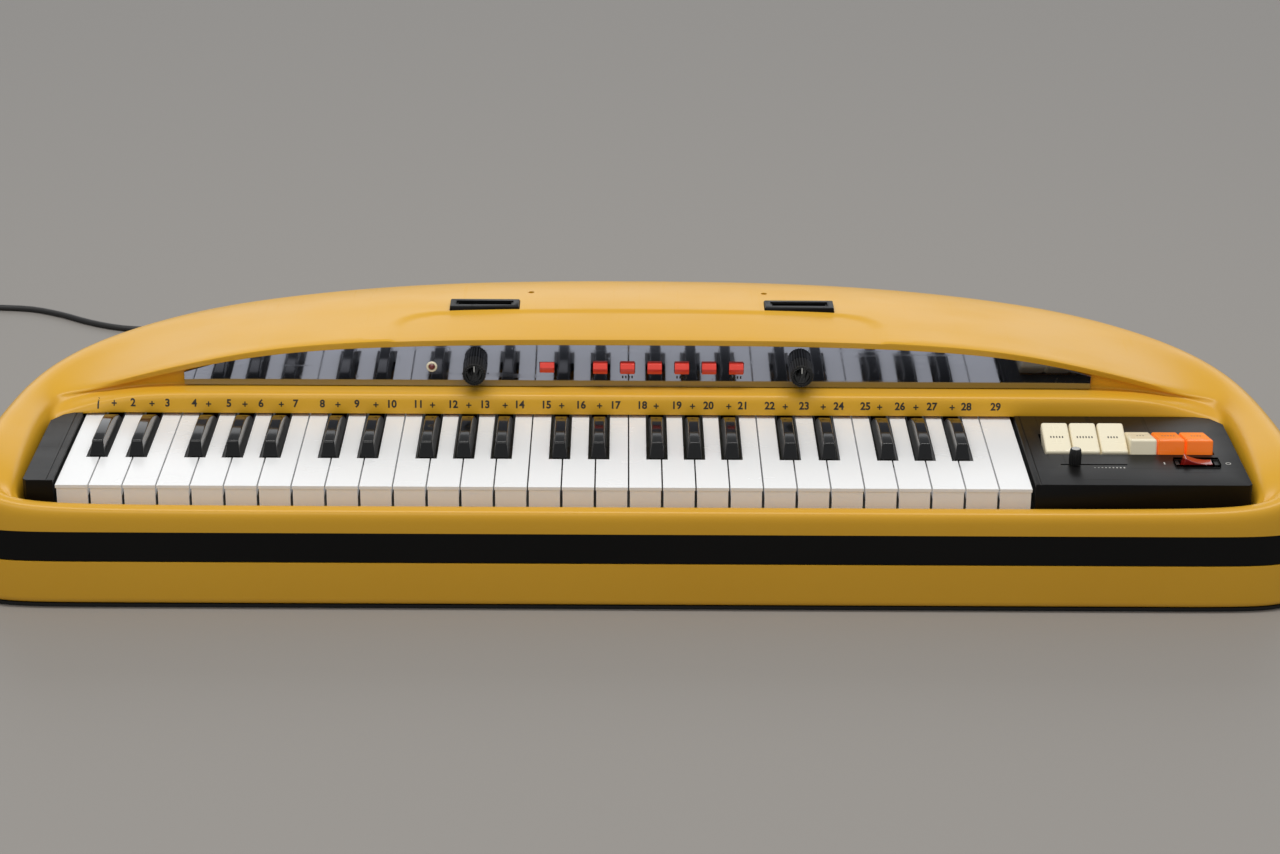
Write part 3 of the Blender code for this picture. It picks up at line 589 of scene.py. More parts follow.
@dataclass
class Case:
    """The moulded case: top shell round the keyboard well, seam band, tray and feet."""

    seam_low: float = 31.0
    seam_high: float = 54.0
    bottom: float = -2.0
    wall: float = 3.0
    soft_levels: int = 3
    # Half of the outline at the seams, from the middle of the front to the middle of the back
    outline: tuple[Flat, ...] = (
        (0, -170), (190, -170), (375, -170), (440, -170), (467, -160), (473.5, -128), (470.5, -78),
        (465.5, -26), (459, 21), (441, 65), (407, 104), (353, 136), (282, 155), (160, 168),
        (0, 171),
    )
    # Wall and shoulder at those places: inset from the outline, and height
    shoulder: tuple[tuple[Flat, ...], ...] = (
        ((0, 60), (0.5, 70.5), (9, 71), (13, 69)), ((0, 60), (0.5, 70.5), (9, 71), (13, 69)),
        ((0, 60), (0.5, 70.5), (9, 71), (13, 69)), ((0, 61), (1, 73), (10, 74), (14, 71)),
        ((0, 69), (2, 84), (12, 86), (20, 83)), ((0, 72), (3, 91), (14, 94), (22, 90)),
        ((0, 74), (4, 93), (14, 97), (22, 94)), ((0, 74), (4, 93), (14, 98), (22, 96)),
        ((2, 76), (7, 95), (18, 101), (28, 99)), ((4, 78), (11, 99), (24, 106), (42, 104)),
        ((5, 80), (14, 103), (29, 111.5), (60, 111)), ((6, 82), (17, 108), (34, 120), (78, 121.5)),
        ((6, 84), (18, 113), (40, 129), (98, 133)), ((7, 86), (19, 118), (45, 140), (112, 144.5)),
        ((7, 86), (20, 120), (48, 143), (128, 145.5)),
    )
    lip: tuple[Point, ...] = (
        (0, -154.4, 67), (190, -154.4, 67), (375, -154.4, 67), (424, -154.5, 67.4),
        (435.5, -154.4, 71),
        (436.5, -141, 84.5), (437, -75, 91), (436, -36, 92), (431, -7, 92), (406, -5.5, 95.5),
        (375, -7, 106), (322, -7.5, 119.5), (258, -7.5, 132), (150, -7.5, 138), (0, -7.5, 138.5),
    )
    lip_drop: tuple[float, ...] = (0.5, 0.5, 0.5, 0.5, 1, 2, 3, 3, 3, 3.5, 4.5, 5, 5.5, 6, 6)
    # How far the lip's underside lies behind its front edge
    lip_back: tuple[float, ...] = (0, 0, 0, 0, 0, 0, 0, 0, 0, 2, 4.5, 6, 6.5, 6.5, 6.5)
    face_foot: tuple[Point, ...] = (
        (0, -153.6, 66), (190, -153.6, 66), (375, -153.6, 66), (422, -153.8, 66.5),
        (433, -153.6, 69.5),
        (433.6, -138, 78), (433.8, -75, 83), (433, -38, 85), (430, -13, 86), (403, -5, 91.5),
        (371, -1, 97.5), (320, 0, 98), (256, 0, 98), (149, 0, 98), (0, 0, 98),
    )
    ledge: tuple[Point, ...] = (
        (0, -153, 65), (190, -153, 65), (375, -153, 65), (421.5, -153.1, 65), (431.8, -152.9, 67),
        (431.9, -137, 73), (432, -75, 77), (431.5, -40, 80), (430, -20.5, 83), (401, -19, 91),
        (369, -19.5, 98), (319, -20, 99), (255, -20, 99), (149, -20, 99), (0, -20, 99),
    )
    well: tuple[Flat, ...] = (
        (0, -152.4), (190, -152.4), (375, -152.4), (421, -152.4), (431, -152.2), (430.7, -136),
        (430.6, -75), (430.6, -42), (429, -23), (399, -21.9), (368, -22), (318, -22), (254, -22),
        (148, -22), (0, -22),
    )
    well_edge: tuple[float, ...] = (61, 61, 61, 61, 62, 66, 69, 73, 82, 85, 85.5, 85.5, 85.5, 85.5,
                                    85.5)
    skirt_foot: tuple[float, ...] = (56, 56, 56, 56, 56, 56, 56, 66, 81, 83.6, 83.6, 83.6, 83.6,
                                     83.6, 83.6)
    screw_places: tuple[Flat, ...] = ((-81, 79), (96, 79))
    sockets: tuple[Flat, ...] = ((-115, 51), (121, 51))
    socket_half: Flat = (26.3, 8.8)
    rest_bed: tuple[float, float, float, float] = (183.0, 41.0, -7.0, 2.4)
    feet: tuple[Flat, ...] = ((-380, -130), (380, -130), (-300, 100), (300, 100))
    speaker: Flat = (-225, 92)
    # Corners of the opening behind the mirrored strip
    window: tuple[Point, Point] = ((-170, -8, 103), (170, 12, 126))
    socket_span: Flat = (110.0, 165.0)
    screw_hole: float = 2.4
    screw_height: float = 134.5
    # The crown is what lies above this height
    crown_level: float = 122.0
    bed_corner: float = 26.0
    # Sound slots under the speaker: number, pitch, half width, and radius they stay inside
    slots: tuple[int, float, float, float] = (7, 13.0, 1.5, 46.0)
    tray_round: float = 6.0
    # The black board that paints the shadow under the tray: its bottom, and its inset from the
    # outline
    shadow_board_low: float = -4.6
    shadow_board_inset: float = 3.0
    seam_gap: float = 0.3
    band_inset: float = 0.4

    # How sharp each line along the shell is: seam, skirt and inner seam all round, and the lip,
    # its underside and the foot of the face where the mirrored face stands under it
    creases: ClassVar[dict[int, float]] = {0: 1.0, 10: 0.3, 11: 1.0, 12: 1.0, 13: 0.9, 14: 0.9,
                                           16: 1.0}
    face_creases: ClassVar[dict[int, float]] = {5: 0.5, 6: 0.55, 7: 0.6, 8: 0.85, 9: 0.25}
    # The last place with a plain thin lip, and the last without the mirrored face's creases
    rim_to: int = 3
    face_from: int = 9

    def inward(self, i: int) -> Vector:
        """Unit direction into the case at one place of the outline."""
        ends = self.outline
        before = ends[i - 1] if i else (-ends[1][0], ends[1][1])
        after = ends[i + 1] if i + 1 < len(ends) else (-ends[-2][0], ends[-2][1])
        along = Vector((after[0] - before[0], after[1] - before[1])).normalized()
        return Vector((-along.y, along.x))

    def section(self, i: int) -> list[Vector]:
        """One closed section of the top shell, outer surface first."""
        foot, into = Vector(self.outline[i]), self.inward(i)
        lip, well, wall = self.lip[i], Vector(self.well[i]), self.wall
        drop = lip[2] - self.lip_drop[i]
        outer = [(*foot, self.seam_high)]
        outer += [(*(foot + into * inset), height) for inset, height in self.shoulder[i]]
        if self.lip_back[i]:
            edge = [lip, (lip[0], lip[1] + 0.45, drop), (lip[0], lip[1] + self.lip_back[i], drop)]
        elif i > self.rim_to:
            rim, base = Vector(lip), Vector(self.face_foot[i])
            out = Vector((*into, 0))
            edge = [rim - 3.4 * out + Vector((0, 0, 1.2)), rim - 0.3 * out - Vector((0, 0, 0.9)),
                    rim.lerp(base, 0.6)]
        else:
            edge = [lip, (lip[0], lip[1], lip[2] - 0.5 * self.lip_drop[i]), (lip[0], lip[1], drop)]
        outer += edge + [self.face_foot[i], self.ledge[i]]
        outer += [(*well, self.well_edge[i]), (*well, self.skirt_foot[i])]
        crown_inset, crown = self.shoulder[i][2]
        behind = min(max(wall, 0.4 * self.shoulder[i][3][0]), 12)
        face = Vector(self.face_foot[i])
        inner = [
            (*(well - into * wall), self.skirt_foot[i]),
            (*(face.xy - into * wall * 0.8), face.z - wall),
            (*(Vector(lip[:2]) - into * behind), drop - wall),
            (*(foot + into * (crown_inset + wall)), crown - 1.6 * wall),
            (*(foot + into * (self.shoulder[i][0][0] + wall)), self.seam_high),
        ]
        return [at(*p) for p in outer + inner]

    def rim(self, inset: float, steps: int = 6) -> list[Flat]:
        """The outline as a smooth closed curve, moved inwards, in millimetres."""
        half = [Vector(p) for p in self.outline]
        ring = half + [Vector((-p.x, p.y)) for p in reversed(half[1:-1])]
        curve = []
        for i in range(len(ring)):
            a, b, c, d = (ring[(i + k) % len(ring)] for k in (-1, 0, 1, 2))
            for u in (step / steps for step in range(steps)):
                weights = ((1 - u) ** 3, 3 * u**3 - 6 * u**2 + 4,
                           -3 * u**3 + 3 * u**2 + 3 * u + 1, u**3)
                shares = (w * p for w, p in zip(weights, (a, b, c, d)))
                curve.append(sum(shares, Vector((0, 0))) / 6)
        made = []
        for i, point in enumerate(curve):
            along = (curve[(i + 1) % len(curve)] - curve[i - 1]).normalized()
            made.append((point.x - along.y * inset, point.y + along.x * inset))
        return made

    def shell_cage(self) -> bmesh.types.BMesh:
        """The top shell's control mesh: one section, extruded round the case and mirrored."""
        mesh = bmesh.new()
        sharp = mesh.edges.layers.float.new("crease_edge")
        ring = [mesh.verts.new(p) for p in self.section(0)]
        edges = [mesh.edges.new(pair) for pair in zip(ring, ring[1:] + ring[:1])]
        for i in range(1, len(self.outline)):
            grown = bmesh.ops.extrude_edge_only(mesh, edges=edges)
            fresh = set(moved(grown))
            steps = [next(e for e in v.link_edges if e.other_vert(v) in fresh) for v in ring]
            following = [e.other_vert(v) for e, v in zip(steps, ring)]
            for v, place in zip(following, self.section(i)):
                v.co = place
            lines = self.creases | (self.face_creases if i > self.face_from else {})
            for line, amount in lines.items():
                steps[line][sharp] = amount
            pairs = zip(following, following[1:] + following[:1])
            edges = [mesh.edges.get(pair) for pair in pairs]
            ring = following
        everything = mesh.verts[:] + mesh.edges[:] + mesh.faces[:]
        bmesh.ops.mirror(mesh, geom=everything, axis="X", merge_dist=0.02 * MM)
        return mesh

    def bed_depth(self, x: float, y: float) -> float:
        """How far the music-rest bed lies under the shell's crown at a place, in millimetres."""
        half, rear, front, depth = self.rest_bed
        corner = self.bed_corner
        dx, dy = abs(x) - (half - corner), y - (rear - corner)
        edge = corner - math.hypot(max(dx, 0), max(dy, 0)) if max(dx, dy) > 0 else corner
        if edge <= 0 or y < front - 2:
            return 0.0
        soft = min(1.0, edge / (7.0 if dx > 0 else 3.5))
        soft = soft * soft * (3 - 2 * soft)
        return depth * soft * (0.45 + 0.55 * min(1.0, (rear - y) / (rear - front)))

    def press_bed(self, obj: bpy.types.Object) -> None:
        """Refines the crown over the music-rest bed and presses the bed into it."""
        half, rear, front, _ = self.rest_bed
        mesh = bmesh.new()
        mesh.from_mesh(obj.data)
        for _ in range(2):
            mesh.normal_update()
            picked = set()
            for face in mesh.faces:
                c = face.calc_center_median() / MM
                on_top = face.normal.z > 0.7 and c.z > self.crown_level + LIFT
                if on_top and abs(c.x) < half + 14 and front - 1 < c.y < rear + 12:
                    picked.update(face.edges)
            bmesh.ops.subdivide_edges(mesh, edges=list(picked), cuts=1, use_grid_fill=True,
                                      smooth=0.0)
        mesh.normal_update()
        for vert in mesh.verts:
            x, y, z = vert.co / MM
            if vert.normal.z > 0.25 and z > self.crown_level + LIFT:
                vert.co.z -= self.bed_depth(x, y) * MM
        mesh.to_mesh(obj.data)
        mesh.free()

    def build_shell(self, shop: Workshop) -> bpy.types.Object:
        """The top shell, with its windows and holes cut."""
        shell = shop.piece("top_shell", self.shell_cage(), Finishes.CASE, replaces=["upper_shell"])
        soft = shell.modifiers.new("soft", "SUBSURF")
        soft.levels = soft.render_levels = self.soft_levels
        bpy.context.view_layer.update()
        Workshop.bake(shell)
        self.press_bed(shell)
        tools = [block(*self.window)]
        for x, y in self.sockets:
            (w, d), (low, high) = self.socket_half, self.socket_span
            tools.append(block((x - w, y - d, low), (x + w, y + d, high)))
        for x, y in self.screw_places:
            r = self.screw_hole
            drill = turned(((0, -30), (r, -30), (r, 30), (0, 30)), 24)
            tools.append(stand(drill, at(x, y, 140)))
        cut_away(shell, tools)
        shell.data.shade_smooth()
        shell.data.set_sharp_from_angle(angle=math.radians(48))
        return shell

    def build_tray(self, shop: Workshop) -> None:
        """The lower shell, hollow, with its sound slots and rubber feet."""
        mesh = pulled(self.rim(0), self.bottom, self.seam_low, Axis.Z)
        low = at(0, 0, self.bottom).z
        round_edges(mesh, self.tray_round, 6,
                    lambda e: all(abs(v.co.z - low) < 1e-5 for v in e.verts))
        high = at(0, 0, self.seam_low).z
        top = [f for f in mesh.faces if f.calc_center_median().z > high - 1e-5]
        bmesh.ops.inset_region(mesh, faces=top, thickness=self.wall * MM, use_even_offset=True)
        grown = bmesh.ops.extrude_face_region(mesh, geom=top)
        bmesh.ops.delete(mesh, geom=top, context="FACES")
        depth = self.seam_low - self.bottom - 2 * self.wall
        bmesh.ops.translate(mesh, vec=(0, 0, -depth * MM), verts=moved(grown))
        tray = shop.piece("lower_tray", mesh, Finishes.CASE, replaces=["lower_shell"])
        tools = []
        count, pitch, wide, reach = self.slots
        for i in range(count):
            offset = (i - count // 2) * pitch
            x, half = self.speaker[0] + offset, math.sqrt(reach**2 - offset**2)
            y = self.speaker[1]
            tools.append(block((x - wide, y - half, -6), (x + wide, y + half, 8)))
        cut_away(tray, tools)
        tray.data.shade_smooth()
        tray.data.set_sharp_from_angle(angle=math.radians(40))
        foot = ((0, 0.1), (9.0, 0.1), (10.2, 1.2), (10.8, 3.4), (0, 3.4))
        for i, (x, y) in enumerate(self.feet):
            pad = stand(turned(foot, 40), Vector((x, y, 0)) * MM)
            shop.piece(f"rubber_foot_{i + 1}", pad, Finishes.RUBBER)

    def build_shadow_board(self, shop: Workshop) -> None:
        """A dark board under the tray, painted shadow in the gap above the floor, with room for the
        feet and the sound slots.
        """
        mesh = pulled(self.rim(self.shadow_board_inset), self.shadow_board_low, self.bottom - 0.1, Axis.Z)
        board = shop.piece("painted_shadow_board", mesh, Finishes.MATT)
        tools = [stand(turned(((0, -6), (11.6, -6), (11.6, 8), (0, 8)), 40),
                       Vector((x, y, 0)) * MM)
                 for x, y in self.feet]
        round_hole = turned(((0, -6), (50, -6), (50, 4), (0, 4)), 48)
        tools.append(stand(round_hole, Vector((*self.speaker, 0)) * MM))
        cut_away(board, tools)
        board.data.shade_flat()

    def build_band(self, shop: Workshop) -> None:
        """The black band over the seam."""
        low, high = self.seam_low + self.seam_gap, self.seam_high - self.seam_gap
        mesh = bmesh.new()
        loops = []
        for inset in (self.band_inset, self.band_inset + self.wall):
            dots = [mesh.verts.new(at(x, y, low)) for x, y in self.rim(inset)]
            loops += [mesh.edges.new(pair) for pair in zip(dots, dots[1:] + dots[:1])]
        bmesh.ops.bridge_loops(mesh, edges=loops)
        grown = bmesh.ops.extrude_face_region(mesh, geom=mesh.faces[:])
        bmesh.ops.translate(mesh, vec=(0, 0, (high - low) * MM), verts=moved(grown))
        band = shop.piece("seam_band", mesh, Finishes.BAND, replaces=["trim_band"])
        soften(band, 0.7, 3)

    def build_screws(self, shop: Workshop) -> None:
        """Dark screws down in the two holes of the crown."""
        for i, (x, y) in enumerate(self.screw_places):
            head = turned(((0, 0), (2.2, 0), (2.2, 1.2), (1.7, 1.6), (0, 1.7)), 24)
            shop.piece(f"crown_screw_{i + 1}", stand(head, at(x, y, self.screw_height)),
                       Finishes.SCREW)

    def build(self, shop: Workshop) -> bpy.types.Object:
        """Builds the whole case and returns its top shell."""
        shell = self.build_shell(shop)
        self.build_tray(shop)
        # The black board under the tray is painted shadow
        self.build_shadow_board(shop)
        self.build_band(shop)
        self.build_screws(shop)
        return shell


# ---------------------------------------------------------------- keyboard


@dataclass
class Keyboard:
    """Twenty-nine naturals and twenty sharps, each with its own body or an octave's comb."""

    pitch: float = 23.5
    left: float = -406.3
    naturals: int = 29
    first_single: int = 7
    last_single: int = 20
    top: float = 81.0
    front: float = -150.0
    head: float = 50.0
    rear: float = 31.0
    gap: float = 1.0
    sharp_width: float = 11.6
    sharp_top_width: float = 7.6
    sharp_top: float = 91.5
    clearance: float = 1.8
    lip: float = 2.6
    # How far the body stands back under the top, at its sides and at its front
    side_recess: float = 0.45
    front_recess: float = 1.7
    body_depth: float = 10.0
    apron_depth: float = 11.0
    apron_thickness: float = 4.0
    # How far a sharp stands off the joint of its naturals, by the natural's place in the octave
    sharp_shifts: ClassVar[dict[int, float]] = {0: -2.2, 1: 2.2, 3: -3.2, 4: 0.0, 5: 3.2}
    # Side of a sharp, from the front of its base over the top to its tail
    sharp_side: tuple[Flat, ...] = (
        (-97.5, 71), (-97.5, 79.5), (-93.2, 91.0), (-92.2, 91.5), (-64, 91.5), (-55, 91.2),
        (-46, 90.2), (-38, 88.3), (-31, 85.6), (-26.5, 82.8), (-24, 80), (31, 80), (31, 71),
    )

    def sharp_centre(self, index: int) -> float | None:
        """X of the sharp between a natural and the next one, or None where there isn't one."""
        shift = self.sharp_shifts.get(index % 7)
        if shift is None or not 0 <= index < self.naturals - 1:
            return None
        return self.left + (index + 1) * self.pitch + shift

    def note(self, index: int, sharp: bool) -> str:
        """A key's name, such as c_2 or f_sharp_3."""
        return f"{'cdefgab'[index % 7]}{'_sharp' if sharp else ''}_{index // 7 + 1}"

    def body(self, index: int, sharp: bool) -> str:
        """The CAD body that a key rides on."""
        if index < self.first_single:
            return "low_octave_keys"
        if index > self.last_single:
            return "high_octave_keys"
        return "key_" + self.note(index, sharp)

    def natural(self, index: int) -> bmesh.types.BMesh:
        """A natural: a white top with a lip over its darker body and apron."""
        left = self.left + index * self.pitch + self.gap / 2
        right = left + self.pitch - self.gap
        clear = self.sharp_width / 2 + self.clearance
        before, after = self.sharp_centre(index - 1), self.sharp_centre(index)
        tail_left = left if before is None else before + clear
        tail_right = right if after is None else after - clear
        shoulder = self.front + self.head
        outline = [(left, self.front), (right, self.front), (right, shoulder),
                   (tail_right, shoulder),
                   (tail_right, self.rear), (tail_left, self.rear), (tail_left, shoulder),
                   (left, shoulder)]
        kept = [p for i, p in enumerate(outline) if i == 0 or p != outline[i - 1]]
        mesh = pulled(kept, self.top - self.lip, self.top, Axis.Z)
        mesh.normal_update()
        level = at(0, 0, self.top - self.lip).z
        under = [f for f in mesh.faces if f.calc_center_median().z < level + 1e-6]
        bmesh.ops.inset_region(mesh, faces=under, thickness=self.side_recess * MM,
                               use_even_offset=True)
        for vert in under[0].verts:
            if vert.co.y < (self.front + 2) * MM:
                vert.co.y = (self.front + self.front_recess) * MM
        grown = bmesh.ops.extrude_face_region(mesh, geom=under)
        bmesh.ops.delete(mesh, geom=under, context="FACES")
        bmesh.ops.translate(mesh, vec=(0, 0, (self.lip - self.body_depth) * MM),
                            verts=moved(grown))
        everything = mesh.verts[:] + mesh.edges[:] + mesh.faces[:]
        plane = (0, (self.front + self.apron_thickness) * MM, 0)
        bmesh.ops.bisect_plane(mesh, geom=everything, plane_co=plane, plane_no=(0, 1, 0),
                               dist=1e-7)
        low = [f for f in mesh.faces if f.calc_center_median().y < plane[1]
               and abs(f.calc_center_median().z - at(0, 0, self.top - self.body_depth).z) < 1e-6]
        grown = bmesh.ops.extrude_face_region(mesh, geom=low)
        bmesh.ops.delete(mesh, geom=low, context="FACES")
        bmesh.ops.translate(mesh, vec=(0, 0, -self.apron_depth * MM), verts=moved(grown))
        # Below the lip the key-body finish takes over, with its faint painted glow
        edge = level - 1e-6
        for face in mesh.faces:
            face.material_index = 0 if face.calc_center_median().z > edge else 1
        return mesh

    def sharp(self, centre: float) -> bmesh.types.BMesh:
        """A sharp: a tapered block with a sloping front and a rounded slope behind."""
        half = self.sharp_width / 2
        mesh = pulled(self.sharp_side, centre - half, centre + half, Axis.X)
        level = at(0, 0, self.top).z
        for vert in mesh.verts:
            rise = max(0.0, vert.co.z - level) / ((self.sharp_top - self.top) * MM)
            keep = 1 - rise * (1 - self.sharp_top_width / self.sharp_width)
            vert.co.x = centre * MM + (vert.co.x - centre * MM) * keep
        return mesh

    def build(self, shop: Workshop) -> None:
        """Builds every key, and the felt behind them."""
        stood_for: set[str] = set()
        for index in range(self.naturals):
            kinds = [(False, self.natural(index))]
            centre = self.sharp_centre(index)
            if centre is not None:
                kinds.append((True, self.sharp(centre)))
            for is_sharp, mesh in kinds:
                body = self.body(index, is_sharp)
                stands = [] if body in stood_for else [body]
                stood_for.add(body)
                finish = Finishes.SHARP if is_sharp else Finishes.KEY
                more = () if is_sharp else (Finishes.KEY_BODY,)
                name = ("sharp_" if is_sharp else "natural_") + self.note(index, is_sharp)
                key = shop.piece(name, mesh, finish, body, stands, more=more)
                soften(key, 0.9 if is_sharp else 0.75, 3)
        felt = block((self.left + 0.5, -16.4, 81.5), (274.5, -12.8, 82.9))
        piece = shop.piece("key_felt", felt, Finishes.FELT)
        soften(piece, 0.4, 2)


@dataclass
class NumberStrip:
    """Numbers over the naturals and crosses over the sharps, printed on the ledge's face."""

    keys: Keyboard
    number_height: float = 90.6
    size: float = 7.6
    proud: float = 0.10
    # How far a number beside only one sharp stands off its key's middle, away from that sharp
    one_sided: float = 1.9
    # How far the first number is moved left and down, onto the flat of the ledge
    end_shift: Flat = (0.4, 1.9)
    # Heights at which the marks are cut, so that they follow the ledge: count each way, and step
    cut_levels: tuple[int, float] = (6, 0.55)

    def text(self, words: str, size: float) -> bmesh.types.BMesh:
        """Flat text as a thin solid standing on the X axis, centred, facing the player."""
        curve = bpy.data.curves.new("number", "FONT")
        curve.body = words
        curve.size = size * MM
        curve.align_x = "CENTER"
        curve.align_y = "CENTER"
        curve.extrude = 0.12 * MM
        curve.offset = 0.22 * MM
        curve.resolution_u = 4
        helper = bpy.data.objects.new("number", curve)
        bpy.context.scene.collection.objects.link(helper)
        bpy.context.view_layer.update()
        graph = bpy.context.evaluated_depsgraph_get()
        data = bpy.data.meshes.new_from_object(helper.evaluated_get(graph))
        mesh = bmesh.new()
        mesh.from_mesh(data)
        bpy.data.objects.remove(helper)
        bpy.data.curves.remove(curve)
        bpy.data.meshes.remove(data)
        bmesh.ops.remove_doubles(mesh, verts=mesh.verts, dist=1e-7)
        bmesh.ops.transform(mesh, matrix=Matrix.Rotation(math.pi / 2, 4, "X"), verts=mesh.verts)
        return mesh

    def cross(self) -> bmesh.types.BMesh:
        """The small cross that marks a sharp."""
        arms = [(-0.45, -1.9), (0.45, -1.9), (0.45, -0.45), (1.9, -0.45), (1.9, 0.45),
                (0.45, 0.45),
                (0.45, 1.9), (-0.45, 1.9), (-0.45, 0.45), (-1.9, 0.45), (-1.9, -0.45),
                (-0.45, -0.45)]
        return pulled([(x, z - LIFT) for x, z in arms], -0.12, 0.12, Axis.Y)

    def build(self, shop: Workshop, shell: bpy.types.Object) -> None:
        """Prints the marks and lays them on the shell's face."""
        marks = bmesh.new()
        keys = self.keys
        for index in range(keys.naturals):
            middle = keys.left + (index + 0.5) * keys.pitch
            before, after = keys.sharp_centre(index - 1), keys.sharp_centre(index)
            middle += self.one_sided if before is not None and after is None else 0.0
            middle -= self.one_sided if after is not None and before is None else 0.0
            middle -= self.end_shift[0] if index == 0 else 0.0
            height = self.number_height - (self.end_shift[1] if index == 0 else 0.0)
            join_in(marks, stand(self.text(str(index + 1), self.size), at(middle, 0, height)))
            if after is not None:
                join_in(marks, stand(self.cross(), at(after, 0, self.number_height - 0.4)))
        each_way, step = self.cut_levels
        for k in range(-each_way, each_way + 1):
            level = at(0, 0, self.number_height + step * k)
            everything = marks.verts[:] + marks.edges[:] + marks.faces[:]
            bmesh.ops.bisect_plane(marks, geom=everything, plane_co=level, plane_no=(0, 0, 1),
                                   dist=1e-7)
        tree = BVHTree.FromObject(shell, bpy.context.evaluated_depsgraph_get())
        for vert in marks.verts:
            start = Vector((vert.co.x, -60 * MM, vert.co.z))
            hit, *_ = tree.ray_cast(start, Vector((0, 1, 0)), 0.08)
            if hit is not None:
                vert.co.y = hit.y - self.proud * MM if vert.co.y < 0 else hit.y + self.proud * MM
        shop.piece("key_numbers", marks, Finishes.INK, smooth=30.0)


# ---------------------------------------------------------------- ends of the keyboard


@dataclass
class EndPanels:
    """The black block at the low end and the switch cover at the high end."""

    level: float = 84.4
    foot: float = 58.0
    block_plan: tuple[Flat, ...] = (
        (-426, -149.7), (-407.3, -149.7), (-407.3, -24.6), (-414, -24.6), (-421, -28.5),
        (-428.4, -40), (-428.4, -147.3),
    )
    cover_plan: tuple[Flat, ...] = (
        (277, -149.7), (426, -149.7), (428.4, -147.3), (428.4, -37), (420.4, -26), (410.4, -23),
        (277, -23),
    )
    tab_window: tuple[float, float, float, float] = (290.2, 411.6, -94.9, -57.7)
    slider_slot: tuple[float, float, float, float] = (299, 346.4, -114.5, -112.5)
    rocker_hole: tuple[float, float, float, float] = (383.5, 408.5, -115.6, -105.2)
    bezel: tuple[float, float, float, float] = (380.2, 412.2, -117.2, -103.6)
    block_groove: float = -411.6
    cover_groove: float = 280.6
    groove_depth: float = 0.5
    groove_half: float = 0.45

    def grooved(self, plan: Sequence[Flat], groove: float) -> bmesh.types.BMesh:
        """A block with one fine groove along its top, beside the keys.

        Args:
            plan: its outline seen from above.
            groove: X of the groove's middle.

        Returns:
            The mesh.
        """
        mesh = pulled(plan, self.foot, self.level, Axis.Z)
        level = at(0, 0, self.level).z
        for x in (groove - self.groove_half, groove + self.groove_half):
            everything = mesh.verts[:] + mesh.edges[:] + mesh.faces[:]
            bmesh.ops.bisect_plane(mesh, geom=everything, plane_co=(x * MM, 0, 0),
                                   plane_no=(1, 0, 0), dist=1e-7)
        mesh.normal_update()
        strip = [f for f in mesh.faces if abs(f.calc_center_median().x - groove * MM) < 0.3 * MM
                 and f.calc_center_median().z > level - 1e-6]
        grown = bmesh.ops.extrude_face_region(mesh, geom=strip)
        bmesh.ops.delete(mesh, geom=strip, context="FACES")
        bmesh.ops.translate(mesh, vec=(0, 0, -self.groove_depth * MM), verts=moved(grown))
        bmesh.ops.dissolve_limit(mesh, angle_limit=0.001, verts=mesh.verts, edges=mesh.edges)
        return mesh

    def build(self, shop: Workshop) -> None:
        """Builds both ends."""
        low = shop.piece("low_end_block", self.grooved(self.block_plan, self.block_groove),
                         Finishes.BLACK, replaces=["left_end_block"])
        soften(low, 1.2, 4, 50)
        cover = self.grooved(self.cover_plan, self.cover_groove)
        cover_piece = shop.piece("switch_cover", cover, Finishes.BLACK, replaces=["control_panel"])
        soften(cover_piece, 1.3, 4, 50)
        tools = [block((279.5, -147.2, 50), (425.9, -25.5, self.level - 2.5))]
        for x0, x1, y0, y1 in (self.tab_window, self.slider_slot, self.rocker_hole):
            tools.append(block((x0, y0, 70), (x1, y1, 90)))
        cut_away(cover_piece, tools)
        cover_piece.data.shade_smooth()
        cover_piece.data.set_sharp_from_angle(angle=math.radians(35))
        self.build_bezel(shop)
        self.build_marks(shop)

    def build_bezel(self, shop: Workshop) -> None:
        """The raised frame round the mains rocker."""
        x0, x1, y0, y1 = self.bezel
        frame = bmesh.new()
        corners = [(x0, y0), (x1, y0), (x1, y1), (x0, y1)]
        face = frame.faces.new([frame.verts.new(at(x, y, self.level + 0.05)) for x, y in corners])
        bmesh.ops.inset_region(frame, faces=[face], thickness=2.0 * MM, use_even_offset=True,
                               use_boundary=True)
        bmesh.ops.delete(frame, geom=[face], context="FACES")
        grown = bmesh.ops.extrude_face_region(frame, geom=frame.faces[:])
        bmesh.ops.translate(frame, vec=(0, 0, 1.7 * MM), verts=moved(grown))
        bezel = shop.piece("rocker_bezel", frame, Finishes.KNOB)
        soften(bezel, 0.5, 2)

    def build_marks(self, shop: Workshop) -> None:
        """Small plain marks: a growing wedge by the slider, a bar and a ring by the rocker."""
        level = self.level + 0.04
        marks = bmesh.new()
        for i in range(9):
            x, tall = 322.0 + i * 2.6, 0.5 + i * 0.16
            low, high = (x, -119.0 - tall / 2, level), (x + 1.1, -119.0 + tall / 2, level + 0.06)
            join_in(marks, block(low, high))
        join_in(marks, block((372.6, -112.6, level), (373.5, -108.9, level + 0.06)))
        ring = turned(((1.35, 0), (1.95, 0), (1.95, 0.06), (1.35, 0.06), (1.35, 0)), 32)
        join_in(marks, stand(ring, at(418.4, -110.6, level)))
        shop.piece("cover_marks", marks, Finishes.MARK)


# ---------------------------------------------------------------- switches


